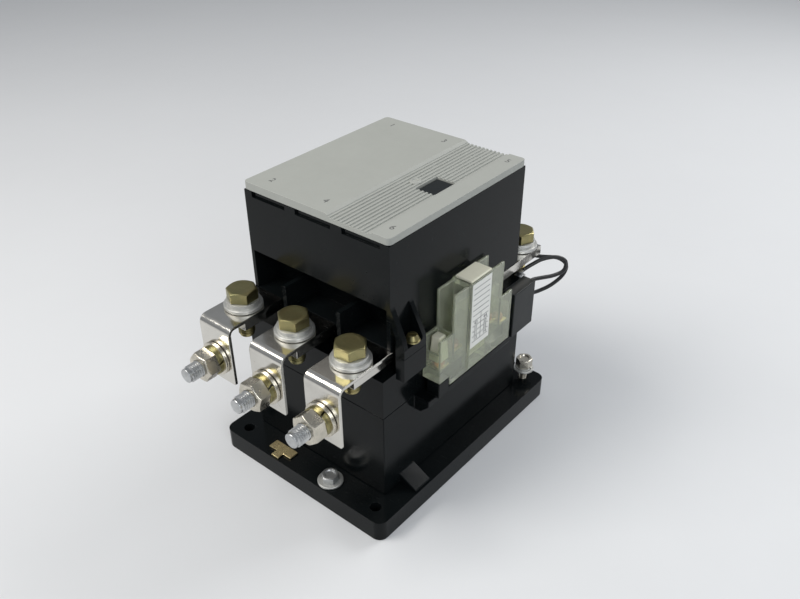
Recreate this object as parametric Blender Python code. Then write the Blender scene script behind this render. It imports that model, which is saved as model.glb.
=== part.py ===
"""Three-pole magnetic contactor with load links, an auxiliary contact block and a coil suppressor.

Metres, +Z up from the mounting face, -Y is the load side, +X is the auxiliary block side.
"""
import math

import bmesh
import bpy
from mathutils import Vector

# Fits shared by every piece
FIT = 0.0003
RUNNING_FIT = 0.0005
OVERLAP = 0.001

# Lower housing
BODY_WIDTH = 0.107
BODY_LENGTH = 0.139
BODY_TOP = 0.074
BODY_WALL = 0.004
BODY_SIDE = 0.5 * BODY_WIDTH
BODY_END = 0.5 * BODY_LENGTH
RAIL_REACH = BODY_SIDE + 0.0105
RAIL_HALF_LENGTH = BODY_END - 0.0275
RAIL_DROP = 0.010
FOOT_DEPTH = 0.009
FOOT_LENGTH = 0.0097
FOOT_RISE = 0.0095
FOOT_REACH = RAIL_REACH + 0.002
FOOT_NEAR = 0.007 - RAIL_HALF_LENGTH
WEDGE_NEAR = 0.042
WEDGE_FAR = 0.056
WEDGE_REACH = BODY_SIDE + 0.013
WEDGE_RISE = 0.008

# Base plate
APRON_X = 0.014
APRON_Y = 0.0205
BASE_WIDTH = BODY_WIDTH + 2 * APRON_X
BASE_LENGTH = BODY_LENGTH + 2 * APRON_Y
BASE_THICK = 0.014
BASE_CORNER = 0.006
HOLE_EDGE_X = 0.0125
HOLE_EDGE_Y = 0.010
HOLE_PITCH_X = BASE_WIDTH - 2 * HOLE_EDGE_X
HOLE_PITCH_Y = BASE_LENGTH - 2 * HOLE_EDGE_Y
HOLE_DIA = 0.007

# Contact frame
SKIRT_TOP = 0.100
SKIRT_ROOF = 0.004
FLOOR_TOP = 0.1082
FRAME_TOP = 0.115
CENTRE_WIDTH = BODY_WIDTH - 0.001
CENTRE_LENGTH = BODY_LENGTH - 0.049
CHAMBER_LENGTH = CENTRE_LENGTH - 0.008
BARRIER_THICK = 0.003
BARRIER_REACH = BODY_END - 0.0015
EAR_IN = BODY_SIDE + 0.003
EAR_OUT = EAR_IN + 0.006
EAR_NEAR = RAIL_HALF_LENGTH + 0.001
EAR_WEB = 0.004
EAR_FAR = BODY_END - 0.0075
EAR_BOTTOM = 0.100
ARM_SLOT_TOP = 0.0975
ARM_SLOT_DROP = 0.021
LEDGE_LENGTH = 0.0265
LEDGE_OUT = BODY_SIDE
LEDGE_IN = LEDGE_OUT - LEDGE_LENGTH
LEDGE_DEPTH = 0.006
LEDGE_BOTTOM = 0.088
LEDGE_TOP = 0.098

# Arc chamber and cover
POLE_PITCH = 0.5 * (BODY_WIDTH - 0.023)
HEAD_WIDTH = CENTRE_WIDTH
HEAD_LENGTH = BODY_LENGTH - 0.015
HEAD_BOTTOM = 0.142
HEAD_TOP = 0.1805
HEAD_STEP = 0.146
HEAD_INNER_LENGTH = HEAD_LENGTH - 0.008
PARTITION = 0.006
SIDE_WALL = 0.0025
BARRIER_TOP = 0.1315
LUG_TOP = 0.121
WING_THICK = 0.0035
WING_SLOPE = 0.0015
WING_ROOT = 0.005
RIB_STEP = 0.002
RIB_INSET = 0.0005
WING_TOP = 0.127
COVER_TOP = 0.1855
STRIP_EDGE = POLE_PITCH - 0.0015
STRIP_WIDTH = 0.029
PANEL_EDGE = STRIP_EDGE - STRIP_WIDTH
STRIP_DROP = 0.0014
MARGIN_DROP = 0.0006
PANEL_SLOPE = 0.0022
GROOVE_COUNT = 10
GROOVE_DEPTH = 0.0007
GROOVE_SHARE = 0.5
WINDOW_X = POLE_PITCH - 0.016
WINDOW_Y = -0.0075
WINDOW_WIDTH = 0.0135
WINDOW_LENGTH = 0.0195
VENT_DEPTH = 0.0015
VENT_WIDTH = 0.026
VENT_HEIGHT = 0.0034
VENT_MARGIN = 0.006

# Magnet
CORE_WIDTH = BODY_WIDTH - 0.023
CORE_STACK = 0.032
CORE_LEG = 0.012
CORE_CENTRE = 0.024
YOKE_TOP = 0.032
CORE_TOP = 0.050
TRAVEL = 0.009
ARMATURE_BACK = 0.072
ARMATURE_TOP = 0.086
CENTRE_RELIEF = 0.0002
RING_THICK = 0.0014
RING_HEIGHT = 0.0024
BOBBIN_WALL = 0.0016
BOBBIN_FLANGE = 0.0022
BOBBIN_LENGTH = 0.068
BOBBIN_TOP = 0.0625
WINDING_INSET = 0.001

# Contact carrier, bridges and springs
BEAM_HEIGHT = 0.0094
BEAM_WIDTH = BODY_WIDTH - 0.011
BEAM_DEPTH = 0.018
SPRING_ARM = 0.5 * BOBBIN_LENGTH - 0.003
SPRING_ARM_WIDTH = 0.014
POST_WIDTH = 0.0138
POST_DEPTH = 0.016
POST_TOP = 0.152
BRIDGE_WIDTH = 0.010
BRIDGE_LENGTH = CHAMBER_LENGTH - 0.012
BRIDGE_THICK = 0.004
TIP_THICK = 0.0018
TIP_LENGTH = 0.010
TIP_CENTRE = 0.5 * BRIDGE_LENGTH - 0.0065
WINDOW_SIDE = 0.0004
POCKET_HEIGHT = 0.0199
CONTACT_WIRE = 0.0012
CONTACT_COIL = 0.0094
CONTACT_TURNS = 4.5
RETURN_WIRE = 0.0014
RETURN_COIL = 0.012
RETURN_TURNS = 5.5
RETURN_OFFSET = 0.5 * BOBBIN_LENGTH - 0.009
ARM_REACH = BODY_SIDE + 0.0045
ARM_WIDTH = 0.0064
ARM_HEIGHT = 0.0048
FLAG_MARGIN = 0.001
FLAG_TOP = 0.183

# Terminal bars, bolts and links
BAR_WIDTH = 0.015
BAR_OUTER_WIDTH = 0.0215
BAR_SHOULDER = EAR_NEAR + EAR_WEB + FIT
BAR_THICK = 0.006
BAR_BOTTOM = 0.1085
BAR_IN = TIP_CENTRE - 0.0085
BOLT_Y = BODY_END + 0.0119
BAR_OUT = BOLT_Y + 0.0096
BOLT_DIA = 0.010
BOLT_FLATS = 0.0165
BOLT_HEAD = 0.0068
BOLT_REACH = 0.0203
WASHER_DIA = 0.023
WASHER_THICK = 0.0022
SPRING_WASHER_DIA = 0.0178
SPRING_WASHER_THICK = 0.0031
LINK_WIDTH = 0.025
LINK_THICK = 0.0022
LINK_IN = BOLT_Y - 0.0194
LINK_OUT = BOLT_Y + 0.0234
LINK_BOTTOM = 0.078
LINK_BEND = 0.005
STUD_Z = 0.093
STUD_END = LINK_OUT + 0.0234
STUD_HEAD = 0.0025
STUD_HEAD_DIA = 0.0145
NUT_HEIGHT = 0.0084
NUT_WASHER_DIA = 0.021

# Arc chutes
CHUTE_FIN = 0.0015
CHUTE_PITCH = 0.0055
CHUTE_FIRST = 0.0155
CHUTE_FINS = 7
CHUTE_LOW = 0.137
CHUTE_TOP = 0.168
CHUTE_ROOF = 0.004
CHUTE_LEFT = 0.0025
CHUTE_RIGHT = 0.0080

# Auxiliary contact block
AUX_BACK = BODY_SIDE + FIT
AUX_FACE = AUX_BACK + 0.0137
AUX_NEAR = FOOT_NEAR
AUX_FAR = RAIL_HALF_LENGTH - 0.0055
AUX_FRONT = AUX_FACE - 0.0012
AUX_PLATE = 0.0016
AUX_LOW = 0.0775
AUX_SILL = 0.0915
AUX_STEP = 0.113
AUX_CROWN = 0.1375
AUX_END_RISE = 0.012
AUX_FOOT_NEAR = -0.020
AUX_FOOT_FAR = 0.024
TOWER_NEAR = -0.009
TOWER_FAR = 0.0115
TOWER_TOP = 0.1385
TOWER_WALL = 0.002
WING_LENGTH = 0.0138
SLIDER_BOTTOM = 0.0875
SLIDER_TOP = 0.119
CAP_WIDTH = 0.0115
CAP_LENGTH = TOWER_FAR - TOWER_NEAR - 0.001
CAP_HEIGHT = 0.0014

# Suppressor and its leads
SUPPRESSOR_THICK = 0.0092
SUPPRESSOR_LENGTH = 0.024
SUPPRESSOR_FAR = BODY_END + 0.0005
SUPPRESSOR_NEAR = SUPPRESSOR_FAR - SUPPRESSOR_LENGTH
SUPPRESSOR_BOTTOM = 0.070
SUPPRESSOR_TOP = 0.102
LEAD_DIA = 0.0026
LEAD_GAP = 0.0006

# Small fasteners and trim
CHAMBER_SCREW_X = 0.5 * (EAR_IN + EAR_OUT)
CHAMBER_SCREW_Y = EAR_NEAR + 0.0085
CHAMBER_SCREW_DIA = 0.004
CHAMBER_SCREW_HEAD = 0.0086
CHAMBER_SCREW_RISE = 0.0042
CHAMBER_SCREW_DEPTH = 0.0145
BASE_SCREW_X = 0.020
BASE_SCREW_Y = BODY_END + 0.012
BASE_SCREW_DIA = 0.006
BASE_SCREW_FLATS = 0.010
BASE_SCREW_HEAD = 0.0045
BASE_SCREW_WASHER = 0.016
BASE_SCREW_WASHER_THICK = 0.0016
BASE_SCREW_DEPTH = 0.009
MOUNT_SCREW_TIP = 0.0005
MOUNT_SCREW_SEAT = 0.021
MOUNT_SCREW_WASHER = 0.014
MOUNT_SCREW_WASHER_THICK = 0.0030
MOUNT_SCREW_HEAD = 0.0065
CLIP_X = -0.0215
CLIP_WIDTH = 0.019
CLIP_THICK = 0.001
CLIP_NEAR = BODY_END + 0.008
CLIP_FAR = CLIP_NEAR + 0.007
TONGUE_WIDTH = 0.006
TONGUE_END = CLIP_FAR + 0.0045
TERMINAL_X = (BODY_SIDE - 0.020, BODY_SIDE - 0.004)
TERMINAL_Y = BODY_END + 0.0031
TERMINAL_SIZE = 0.0052
TERMINAL_PLATE = 0.0016
TERMINAL_HEAD = 0.0046
TERMINAL_RISE = 0.0028

# Facets
ROUND = 20
SMALL_ROUND = 14
SPRING_STEPS = 12
SPRING_SIDES = 6

POLES = (-POLE_PITCH, 0.0, POLE_PITCH)
BAR_TOP = BAR_BOTTOM + BAR_THICK
FIXED_TIP = BAR_TOP + TIP_THICK
BRIDGE_BOTTOM = FIXED_TIP + TRAVEL + FIT + TIP_THICK
BRIDGE_TOP = BRIDGE_BOTTOM + BRIDGE_THICK
POCKET_BOTTOM = BRIDGE_BOTTOM - FIT
POCKET_TOP = POCKET_BOTTOM + POCKET_HEIGHT
BEAM_BOTTOM = ARMATURE_TOP + FIT
BEAM_TOP = BEAM_BOTTOM + BEAM_HEIGHT
ARM_BOTTOM = BEAM_BOTTOM + 0.5 * (BEAM_HEIGHT - ARM_HEIGHT)
LINK_TOP = BAR_TOP + FIT + LINK_THICK
TAPPED = BOLT_DIA + 2 * FIT


def clear_scene():
    """Remove whatever the new file starts with."""
    for item in list(bpy.data.objects):
        bpy.data.objects.remove(item, do_unlink=True)


def new_object(name, mesh):
    """Link a mesh into the scene as an object."""
    item = bpy.data.objects.new(name, mesh)
    bpy.context.scene.collection.objects.link(item)
    return item


def from_bmesh(bm, name):
    """Turn a bmesh into an object with its faces pointing out."""
    bmesh.ops.recalc_face_normals(bm, faces=bm.faces)
    mesh = bpy.data.meshes.new(name)
    bm.to_mesh(mesh)
    bm.free()
    return new_object(name, mesh)


def place(axis, u, v, w):
    """Put a section point (u, v) at distance w along an axis."""
    if axis == "X":
        return Vector((w, u, v))
    if axis == "Y":
        return Vector((u, w, v))
    return Vector((u, v, w))


def prism(outline, axis, start, end):
    """A closed outline drawn out straight along an axis."""
    bm = bmesh.new()
    low = [bm.verts.new(place(axis, u, v, start)) for u, v in outline]
    high = [bm.verts.new(place(axis, u, v, end)) for u, v in outline]
    bm.faces.new(low)
    bm.faces.new(high)
    count = len(outline)
    for i in range(count):
        j = (i + 1) % count
        bm.faces.new((low[i], low[j], high[j], high[i]))
    return from_bmesh(bm, "form")


def box(x0, x1, y0, y1, z0, z1):
    """A rectangular block between two corners."""
    return prism([(x0, y0), (x1, y0), (x1, y1), (x0, y1)], "Z", z0, z1)


def circle(u, v, radius, sides, turn=0.0):
    """Points of a regular outline around (u, v)."""
    step = 2 * math.pi / sides
    return [(u + radius * math.cos(turn + i * step), v + radius * math.sin(turn + i * step)) for i in range(sides)]


def rod(u, v, dia, axis, start, end, sides=ROUND):
    """A round bar across an axis."""
    return prism(circle(u, v, 0.5 * dia, sides), axis, start, end)


def hexagon(u, v, flats, axis, start, end, turn=0.0):
    """A six-sided bar with a given width across flats."""
    return prism(circle(u, v, flats / math.sqrt(3), 6, turn), axis, start, end)


def rounded(width, length, radius, steps):
    """A rectangle outline with round corners."""
    points = []
    corners = ((1, 1, 0), (-1, 1, 1), (-1, -1, 2), (1, -1, 3))
    for sx, sy, quarter in corners:
        cx = sx * (0.5 * width - radius)
        cy = sy * (0.5 * length - radius)
        for i in range(steps + 1):
            angle = 0.5 * math.pi * (quarter + i / steps)
            points.append((cx + radius * math.cos(angle), cy + radius * math.sin(angle)))
    return points


def combine(target, tool, operation):
    """Join or cut one form with another and keep the plain result."""
    step = target.modifiers.new("step", "BOOLEAN")
    step.operation = operation
    step.solver = "EXACT"
    step.object = tool
    graph = bpy.context.evaluated_depsgraph_get()
    result = bpy.data.meshes.new_from_object(target.evaluated_get(graph))
    target.modifiers.clear()
    target.data = result
    bpy.data.objects.remove(tool, do_unlink=True)
    return target


def join(target, *tools):
    """Add forms to a form."""
    for tool in tools:
        combine(target, tool, "UNION")
    return target


def cut(target, *tools):
    """Take forms away from a form."""
    for tool in tools:
        combine(target, tool, "DIFFERENCE")
    return target


def make_material(name, colour, roughness, metallic):
    """A plain Principled material."""
    material = bpy.data.materials.new(name)
    material.use_nodes = True
    shader = material.node_tree.nodes["Principled BSDF"]
    shader.inputs["Base Color"].default_value = (*colour, 1.0)
    shader.inputs["Roughness"].default_value = roughness
    shader.inputs["Metallic"].default_value = metallic
    material.diffuse_color = (*colour, 1.0)
    return material


def finish(item, name, look, origin=(0.0, 0.0, 0.0)):
    """Name a form, weld it, set its origin and give it its own material."""
    bm = bmesh.new()
    bm.from_mesh(item.data)
    bmesh.ops.remove_doubles(bm, verts=bm.verts, dist=0.000005)
    bmesh.ops.dissolve_limit(bm, angle_limit=0.001, verts=bm.verts, edges=bm.edges)
    bmesh.ops.triangulate(bm, faces=bm.faces)
    bmesh.ops.recalc_face_normals(bm, faces=bm.faces)
    bmesh.ops.translate(bm, vec=-Vector(origin), verts=bm.verts)
    mesh = bpy.data.meshes.new(name)
    bm.to_mesh(mesh)
    bm.free()
    mesh.shade_smooth()
    mesh.set_sharp_from_angle(angle=math.radians(35))
    mesh.materials.append(make_material("look_" + name, *look))
    item.data = mesh
    item.name = name
    item.location = origin
    return item


BLACK = ((0.012, 0.012, 0.013), 0.35, 0.0)
GREY = ((0.42, 0.41, 0.38), 0.5, 0.0)
STEEL = ((0.45, 0.45, 0.46), 0.4, 1.0)
LAMINATED = ((0.22, 0.22, 0.23), 0.5, 1.0)
COPPER = ((0.72, 0.38, 0.22), 0.35, 1.0)
NICKEL = ((0.72, 0.70, 0.66), 0.2, 1.0)
YELLOW_ZINC = ((0.58, 0.50, 0.26), 0.35, 1.0)
BRASS = ((0.62, 0.50, 0.22), 0.35, 1.0)
IVORY = ((0.80, 0.78, 0.68), 0.5, 0.0)
AGED = ((0.45, 0.46, 0.30), 0.35, 0.0)
WOUND = ((0.30, 0.16, 0.06), 0.5, 0.0)
FIBRE = ((0.30, 0.30, 0.31), 0.5, 1.0)


def build_base():
    """Mounting plate with four corner holes and two blind screw holes."""
    plate = prism(rounded(BASE_WIDTH, BASE_LENGTH, BASE_CORNER, 5), "Z", 0.0, BASE_THICK)
    for side in (1, -1):
        for end in (1, -1):
            x = 0.5 * side * HOLE_PITCH_X
            y = 0.5 * end * HOLE_PITCH_Y
            cut(plate, rod(x, y, HOLE_DIA, "Z", -OVERLAP, BASE_THICK + OVERLAP))
    bottom = BASE_THICK - BASE_SCREW_DEPTH - OVERLAP
    for end in (1, -1):
        hole = rod(-end * BASE_SCREW_X, end * BASE_SCREW_Y, BASE_SCREW_DIA + 2 * FIT,
                   "Z", bottom, BASE_THICK + OVERLAP, SMALL_ROUND)
        cut(plate, hole)
    finish(plate, "base_plate", BLACK)


def build_lower_housing():
    """Open tube around the magnet with a rail and a foot wedge on each side and one rail stop."""
    x = 0.5 * BODY_WIDTH
    y = 0.5 * BODY_LENGTH
    bottom = BASE_THICK + FIT
    shell = box(-x, x, -y, y, bottom, BODY_TOP)
    for side in (1, -1):
        outline = [(side * (x - OVERLAP), BODY_TOP),
                   (side * RAIL_REACH, BODY_TOP),
                   (side * RAIL_REACH, BODY_TOP - 0.4 * RAIL_DROP),
                   (side * (RAIL_REACH - 0.6 * RAIL_DROP), BODY_TOP - RAIL_DROP),
                   (side * (x - OVERLAP), BODY_TOP - RAIL_DROP)]
        join(shell, prism(outline, "Y", -RAIL_HALF_LENGTH, RAIL_HALF_LENGTH))
        wedge = [(side * (x - OVERLAP), bottom),
                 (side * WEDGE_REACH, bottom),
                 (side * WEDGE_REACH, bottom + OVERLAP),
                 (side * (x - OVERLAP), bottom + WEDGE_RISE)]
        join(shell, prism(wedge, "Y", -WEDGE_NEAR, -WEDGE_FAR))
    join(shell, box(FOOT_REACH - FOOT_DEPTH, FOOT_REACH, FOOT_NEAR, FOOT_NEAR + FOOT_LENGTH,
                    BODY_TOP - OVERLAP, BODY_TOP + FOOT_RISE))
    inside = box(BODY_WALL - x, x - BODY_WALL, BODY_WALL - y, y - BODY_WALL,
                 bottom - OVERLAP, BODY_TOP + OVERLAP)
    cut(shell, inside)
    finish(shell, "lower_housing", BLACK)


def ear(bottom, top):
    """Corner ear outside the near terminal bay on the block side, joined to the centre by a web."""
    inner = 0.5 * CENTRE_WIDTH - 2 * OVERLAP
    web = box(inner, EAR_OUT, -EAR_NEAR, -EAR_NEAR - EAR_WEB, bottom, top)
    post = box(EAR_IN, EAR_OUT, -EAR_NEAR, -EAR_FAR, bottom, top)
    return join(web, post)


def build_contact_frame():
    """Middle moulding: skirt, chamber floor, terminal bays, one ear and the coil terminal ledge."""
    x = 0.5 * BODY_WIDTH
    y = 0.5 * BODY_LENGTH
    bottom = BODY_TOP + FIT
    frame = box(-x, x, -y, y, bottom, SKIRT_TOP)
    inside = box(BODY_WALL - x, x - BODY_WALL, BODY_WALL - y, y - BODY_WALL,
                 bottom - OVERLAP, SKIRT_TOP - SKIRT_ROOF)
    cut(frame, inside)
    half_x = 0.5 * CENTRE_WIDTH
    half_y = 0.5 * CENTRE_LENGTH
    join(frame, box(-half_x, half_x, -half_y, half_y, SKIRT_TOP - 0.5 * SKIRT_ROOF, FRAME_TOP))
    for boundary in (-0.5 * POLE_PITCH, 0.5 * POLE_PITCH):
        for end in (1, -1):
            join(frame, box(boundary - 0.5 * BARRIER_THICK, boundary + 0.5 * BARRIER_THICK,
                            end * (half_y - OVERLAP), end * BARRIER_REACH,
                            SKIRT_TOP - OVERLAP, FRAME_TOP))
    join(frame, ear(EAR_BOTTOM, FRAME_TOP))
    join(frame, box(LEDGE_IN, LEDGE_OUT, y - OVERLAP, y + LEDGE_DEPTH, LEDGE_BOTTOM, LEDGE_TOP))
    slot_x = 0.5 * POST_WIDTH + RUNNING_FIT
    slot_y = 0.5 * POST_DEPTH + RUNNING_FIT
    notch = 0.5 * BAR_WIDTH + FIT
    for pole in POLES:
        left, right = pole_room(pole)
        cut(frame, box(left, right, -0.5 * CHAMBER_LENGTH, 0.5 * CHAMBER_LENGTH,
                       FLOOR_TOP, FRAME_TOP + OVERLAP))
        cut(frame, box(pole - notch, pole + notch, -half_y - OVERLAP, half_y + OVERLAP,
                       FLOOR_TOP, FRAME_TOP + OVERLAP))
        cut(frame, box(pole - slot_x, pole + slot_x, -slot_y, slot_y,
                       SKIRT_TOP - SKIRT_ROOF - OVERLAP, FRAME_TOP))
    arm = 0.5 * ARM_WIDTH + FIT
    cut(frame, box(x - BODY_WALL - OVERLAP, x + OVERLAP, -arm, arm,
                   ARM_SLOT_TOP - ARM_SLOT_DROP, BEAM_TOP))
    cut(frame, rod(CHAMBER_SCREW_X, -CHAMBER_SCREW_Y, CHAMBER_SCREW_DIA + 2 * FIT, "Z",
                   FRAME_TOP + FIT - (CHAMBER_SCREW_DEPTH - (LUG_TOP - FRAME_TOP)) - OVERLAP,
                   FRAME_TOP + OVERLAP, SMALL_ROUND))
    finish(frame, "contact_frame", BLACK)


def pole_room(pole):
    """Left and right inner walls of one pole's chamber."""
    left = pole - 0.5 * POLE_PITCH + 0.5 * PARTITION
    right = pole + 0.5 * POLE_PITCH - 0.5 * PARTITION
    limit = 0.5 * CENTRE_WIDTH - SIDE_WALL
    return max(left, -limit), min(right, limit)


def build_arc_chamber():
    """Upper moulding: three open-top arc rooms, bay roofs, barriers, one ear and its flared wing."""
    bottom = FRAME_TOP + FIT
    half_x = 0.5 * CENTRE_WIDTH
    half_y = 0.5 * CENTRE_LENGTH
    body = box(-half_x, half_x, -half_y, half_y, bottom, HEAD_BOTTOM + OVERLAP)
    head_x = 0.5 * HEAD_WIDTH
    head_y = 0.5 * HEAD_LENGTH
    join(body, box(-head_x, head_x, -head_y, head_y, HEAD_BOTTOM, HEAD_TOP))
    for boundary in (-0.5 * POLE_PITCH, 0.5 * POLE_PITCH):
        for end in (1, -1):
            join(body, box(boundary - 0.5 * BARRIER_THICK, boundary + 0.5 * BARRIER_THICK,
                           end * (half_y - OVERLAP), end * BARRIER_REACH, bottom, BARRIER_TOP))
    for end in (1, -1):
        join(body, box(-half_x, half_x, end * (half_y - OVERLAP), end * (LINK_IN - FIT), bottom, LINK_TOP))
        for side in (1, -1):
            join(body, box(side * (half_x - SIDE_WALL), side * half_x, end * (half_y - OVERLAP),
                           end * head_y, bottom, HEAD_BOTTOM + OVERLAP))
    inner = head_x - OVERLAP
    join(body, ear(bottom, LUG_TOP))
    wing = [(inner, HEAD_BOTTOM + WING_ROOT), (head_x + OVERLAP, HEAD_BOTTOM), (EAR_OUT - WING_SLOPE, WING_TOP),
            (EAR_OUT, LUG_TOP - OVERLAP), (EAR_IN, LUG_TOP - OVERLAP), (EAR_IN, WING_TOP),
            (inner, HEAD_BOTTOM - WING_ROOT)]
    join(body, prism(wing, "Y", -head_y + WING_THICK, -head_y))
    rib = [(inner, HEAD_BOTTOM + OVERLAP), (head_x + OVERLAP, HEAD_BOTTOM - RIB_STEP), (EAR_OUT, LUG_TOP + RIB_STEP),
           (EAR_OUT, LUG_TOP - OVERLAP), (inner, LUG_TOP - OVERLAP)]
    join(body, prism(rib, "Y", -EAR_NEAR - RIB_INSET, -EAR_NEAR - EAR_WEB + RIB_INSET))
    for pole in POLES:
        left, right = pole_room(pole)
        cut(body, box(left, right, -0.5 * CHAMBER_LENGTH, 0.5 * CHAMBER_LENGTH, bottom - OVERLAP, HEAD_TOP + OVERLAP))
        cut(body, box(left, right, -0.5 * HEAD_INNER_LENGTH, 0.5 * HEAD_INNER_LENGTH, HEAD_STEP, HEAD_TOP + OVERLAP))
        for end in (1, -1):
            x = pole * (HEAD_WIDTH - VENT_WIDTH - 2 * VENT_MARGIN) / (2 * POLE_PITCH)
            cut(body, box(x - 0.5 * VENT_WIDTH, x + 0.5 * VENT_WIDTH, end * (head_y - VENT_DEPTH),
                          end * (head_y + OVERLAP), HEAD_TOP - VENT_HEIGHT, HEAD_TOP + OVERLAP))
    cut(body, rod(CHAMBER_SCREW_X, -CHAMBER_SCREW_Y, CHAMBER_SCREW_DIA + 2 * FIT,
                  "Z", bottom - OVERLAP, LUG_TOP + OVERLAP, SMALL_ROUND))
    finish(body, "arc_chamber", BLACK)


def build_cover():
    """Lid with a raised panel, a grooved strip and the indicator window."""
    x = 0.5 * HEAD_WIDTH
    y = 0.5 * HEAD_LENGTH
    lid = prism(rounded(HEAD_WIDTH, HEAD_LENGTH, 0.0025, 3), "Z", HEAD_TOP + FIT, COVER_TOP)
    margin_top = COVER_TOP - MARGIN_DROP
    strip_top = COVER_TOP - STRIP_DROP
    cut(lid, box(STRIP_EDGE, x + OVERLAP, -y - OVERLAP, y + OVERLAP, margin_top, COVER_TOP + OVERLAP))
    cut(lid, box(PANEL_EDGE, STRIP_EDGE + OVERLAP, -y - OVERLAP, y + OVERLAP, strip_top, COVER_TOP + OVERLAP))
    slope = [(PANEL_EDGE - PANEL_SLOPE, COVER_TOP), (PANEL_EDGE + OVERLAP, strip_top),
             (PANEL_EDGE + OVERLAP, COVER_TOP + OVERLAP), (PANEL_EDGE - PANEL_SLOPE, COVER_TOP + OVERLAP)]
    cut(lid, prism(slope, "Y", -y - OVERLAP, y + OVERLAP))
    pitch = (STRIP_EDGE - PANEL_EDGE) / (GROOVE_COUNT + 0.5)
    for i in range(GROOVE_COUNT):
        left = PANEL_EDGE + (i + 0.5) * pitch
        cut(lid, box(left, left + GROOVE_SHARE * pitch, -y - OVERLAP, y + OVERLAP,
                     strip_top - GROOVE_DEPTH, strip_top + OVERLAP))
    cut(lid, box(WINDOW_X, WINDOW_X + WINDOW_WIDTH, WINDOW_Y, WINDOW_Y + WINDOW_LENGTH,
                 HEAD_TOP - OVERLAP, COVER_TOP + OVERLAP))
    finish(lid, "top_cover", GREY)


def e_outline(low, high, ends, centre_end):
    """E-shaped section: a back between two heights and three legs."""
    half = 0.5 * CORE_WIDTH
    leg = half - CORE_LEG
    mid = 0.5 * CORE_CENTRE
    back = high if abs(high - ends) < abs(low - ends) else low
    far = low if back == high else high
    return [(-half, far), (half, far), (half, ends), (leg, ends), (leg, back), (mid, back),
            (mid, centre_end), (-mid, centre_end), (-mid, back), (-leg, back), (-leg, ends), (-half, ends)]


def build_magnet():
    """Fixed core with shading rings, coil and moving armature."""
    stack = 0.5 * CORE_STACK
    half = 0.5 * CORE_WIDTH
    core = prism(e_outline(BASE_THICK + FIT, YOKE_TOP, CORE_TOP, CORE_TOP - CENTRE_RELIEF), "Y", -stack, stack)
    split = half - 0.5 * CORE_LEG
    groove = RING_THICK + 2 * FIT
    ring_low = CORE_TOP - RING_HEIGHT - FIT
    for side in (1, -1):
        cut(core, box(side * (split - groove), side * split, -stack - OVERLAP, stack + OVERLAP,
                      ring_low - FIT, CORE_TOP + OVERLAP))
    finish(core, "fixed_core", LAMINATED)
    for side, name in ((-1, "shading_ring_left"), (1, "shading_ring_right")):
        ring = box(side * (split - FIT - RING_THICK), side * (half + FIT + RING_THICK),
                   -stack - FIT - RING_THICK, stack + FIT + RING_THICK, ring_low, CORE_TOP - FIT)
        hole = box(side * (split - FIT), side * (half + FIT), -stack - FIT, stack + FIT,
                   ring_low - OVERLAP, CORE_TOP + OVERLAP)
        cut(ring, hole)
        finish(ring, name, COPPER)

    legs_end = CORE_TOP + TRAVEL + FIT
    moving = prism(e_outline(ARMATURE_BACK, ARMATURE_TOP, legs_end, legs_end + CENTRE_RELIEF), "Y", -stack, stack)
    finish(moving, "armature", LAMINATED)

    bore_x = 0.5 * CORE_CENTRE + 2 * FIT
    bore_y = stack + 2 * FIT
    tube_x = bore_x + BOBBIN_WALL
    tube_y = bore_y + BOBBIN_WALL
    flange_x = half - CORE_LEG - RUNNING_FIT
    flange_y = 0.5 * BOBBIN_LENGTH
    low = YOKE_TOP + FIT
    bobbin = box(-flange_x, flange_x, -flange_y, flange_y, low, low + BOBBIN_FLANGE)
    join(bobbin, box(-tube_x, tube_x, -tube_y, tube_y, low, BOBBIN_TOP))
    join(bobbin, box(-flange_x, flange_x, -flange_y, flange_y, BOBBIN_TOP - BOBBIN_FLANGE, BOBBIN_TOP))
    cut(bobbin, box(-bore_x, bore_x, -bore_y, bore_y, low - OVERLAP, BOBBIN_TOP + OVERLAP))
    finish(bobbin, "coil_bobbin", BLACK)
    wound_x = 2 * (flange_x - WINDING_INSET)
    wound_y = 2 * (flange_y - WINDING_INSET)
    winding = prism(rounded(wound_x, wound_y, 0.006, 4), "Z",
                    low + BOBBIN_FLANGE + FIT, BOBBIN_TOP - BOBBIN_FLANGE - FIT)
    cut(winding, box(-tube_x - FIT, tube_x + FIT, -tube_y - FIT, tube_y + FIT, low, BOBBIN_TOP))
    finish(winding, "coil_winding", WOUND)


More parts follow.
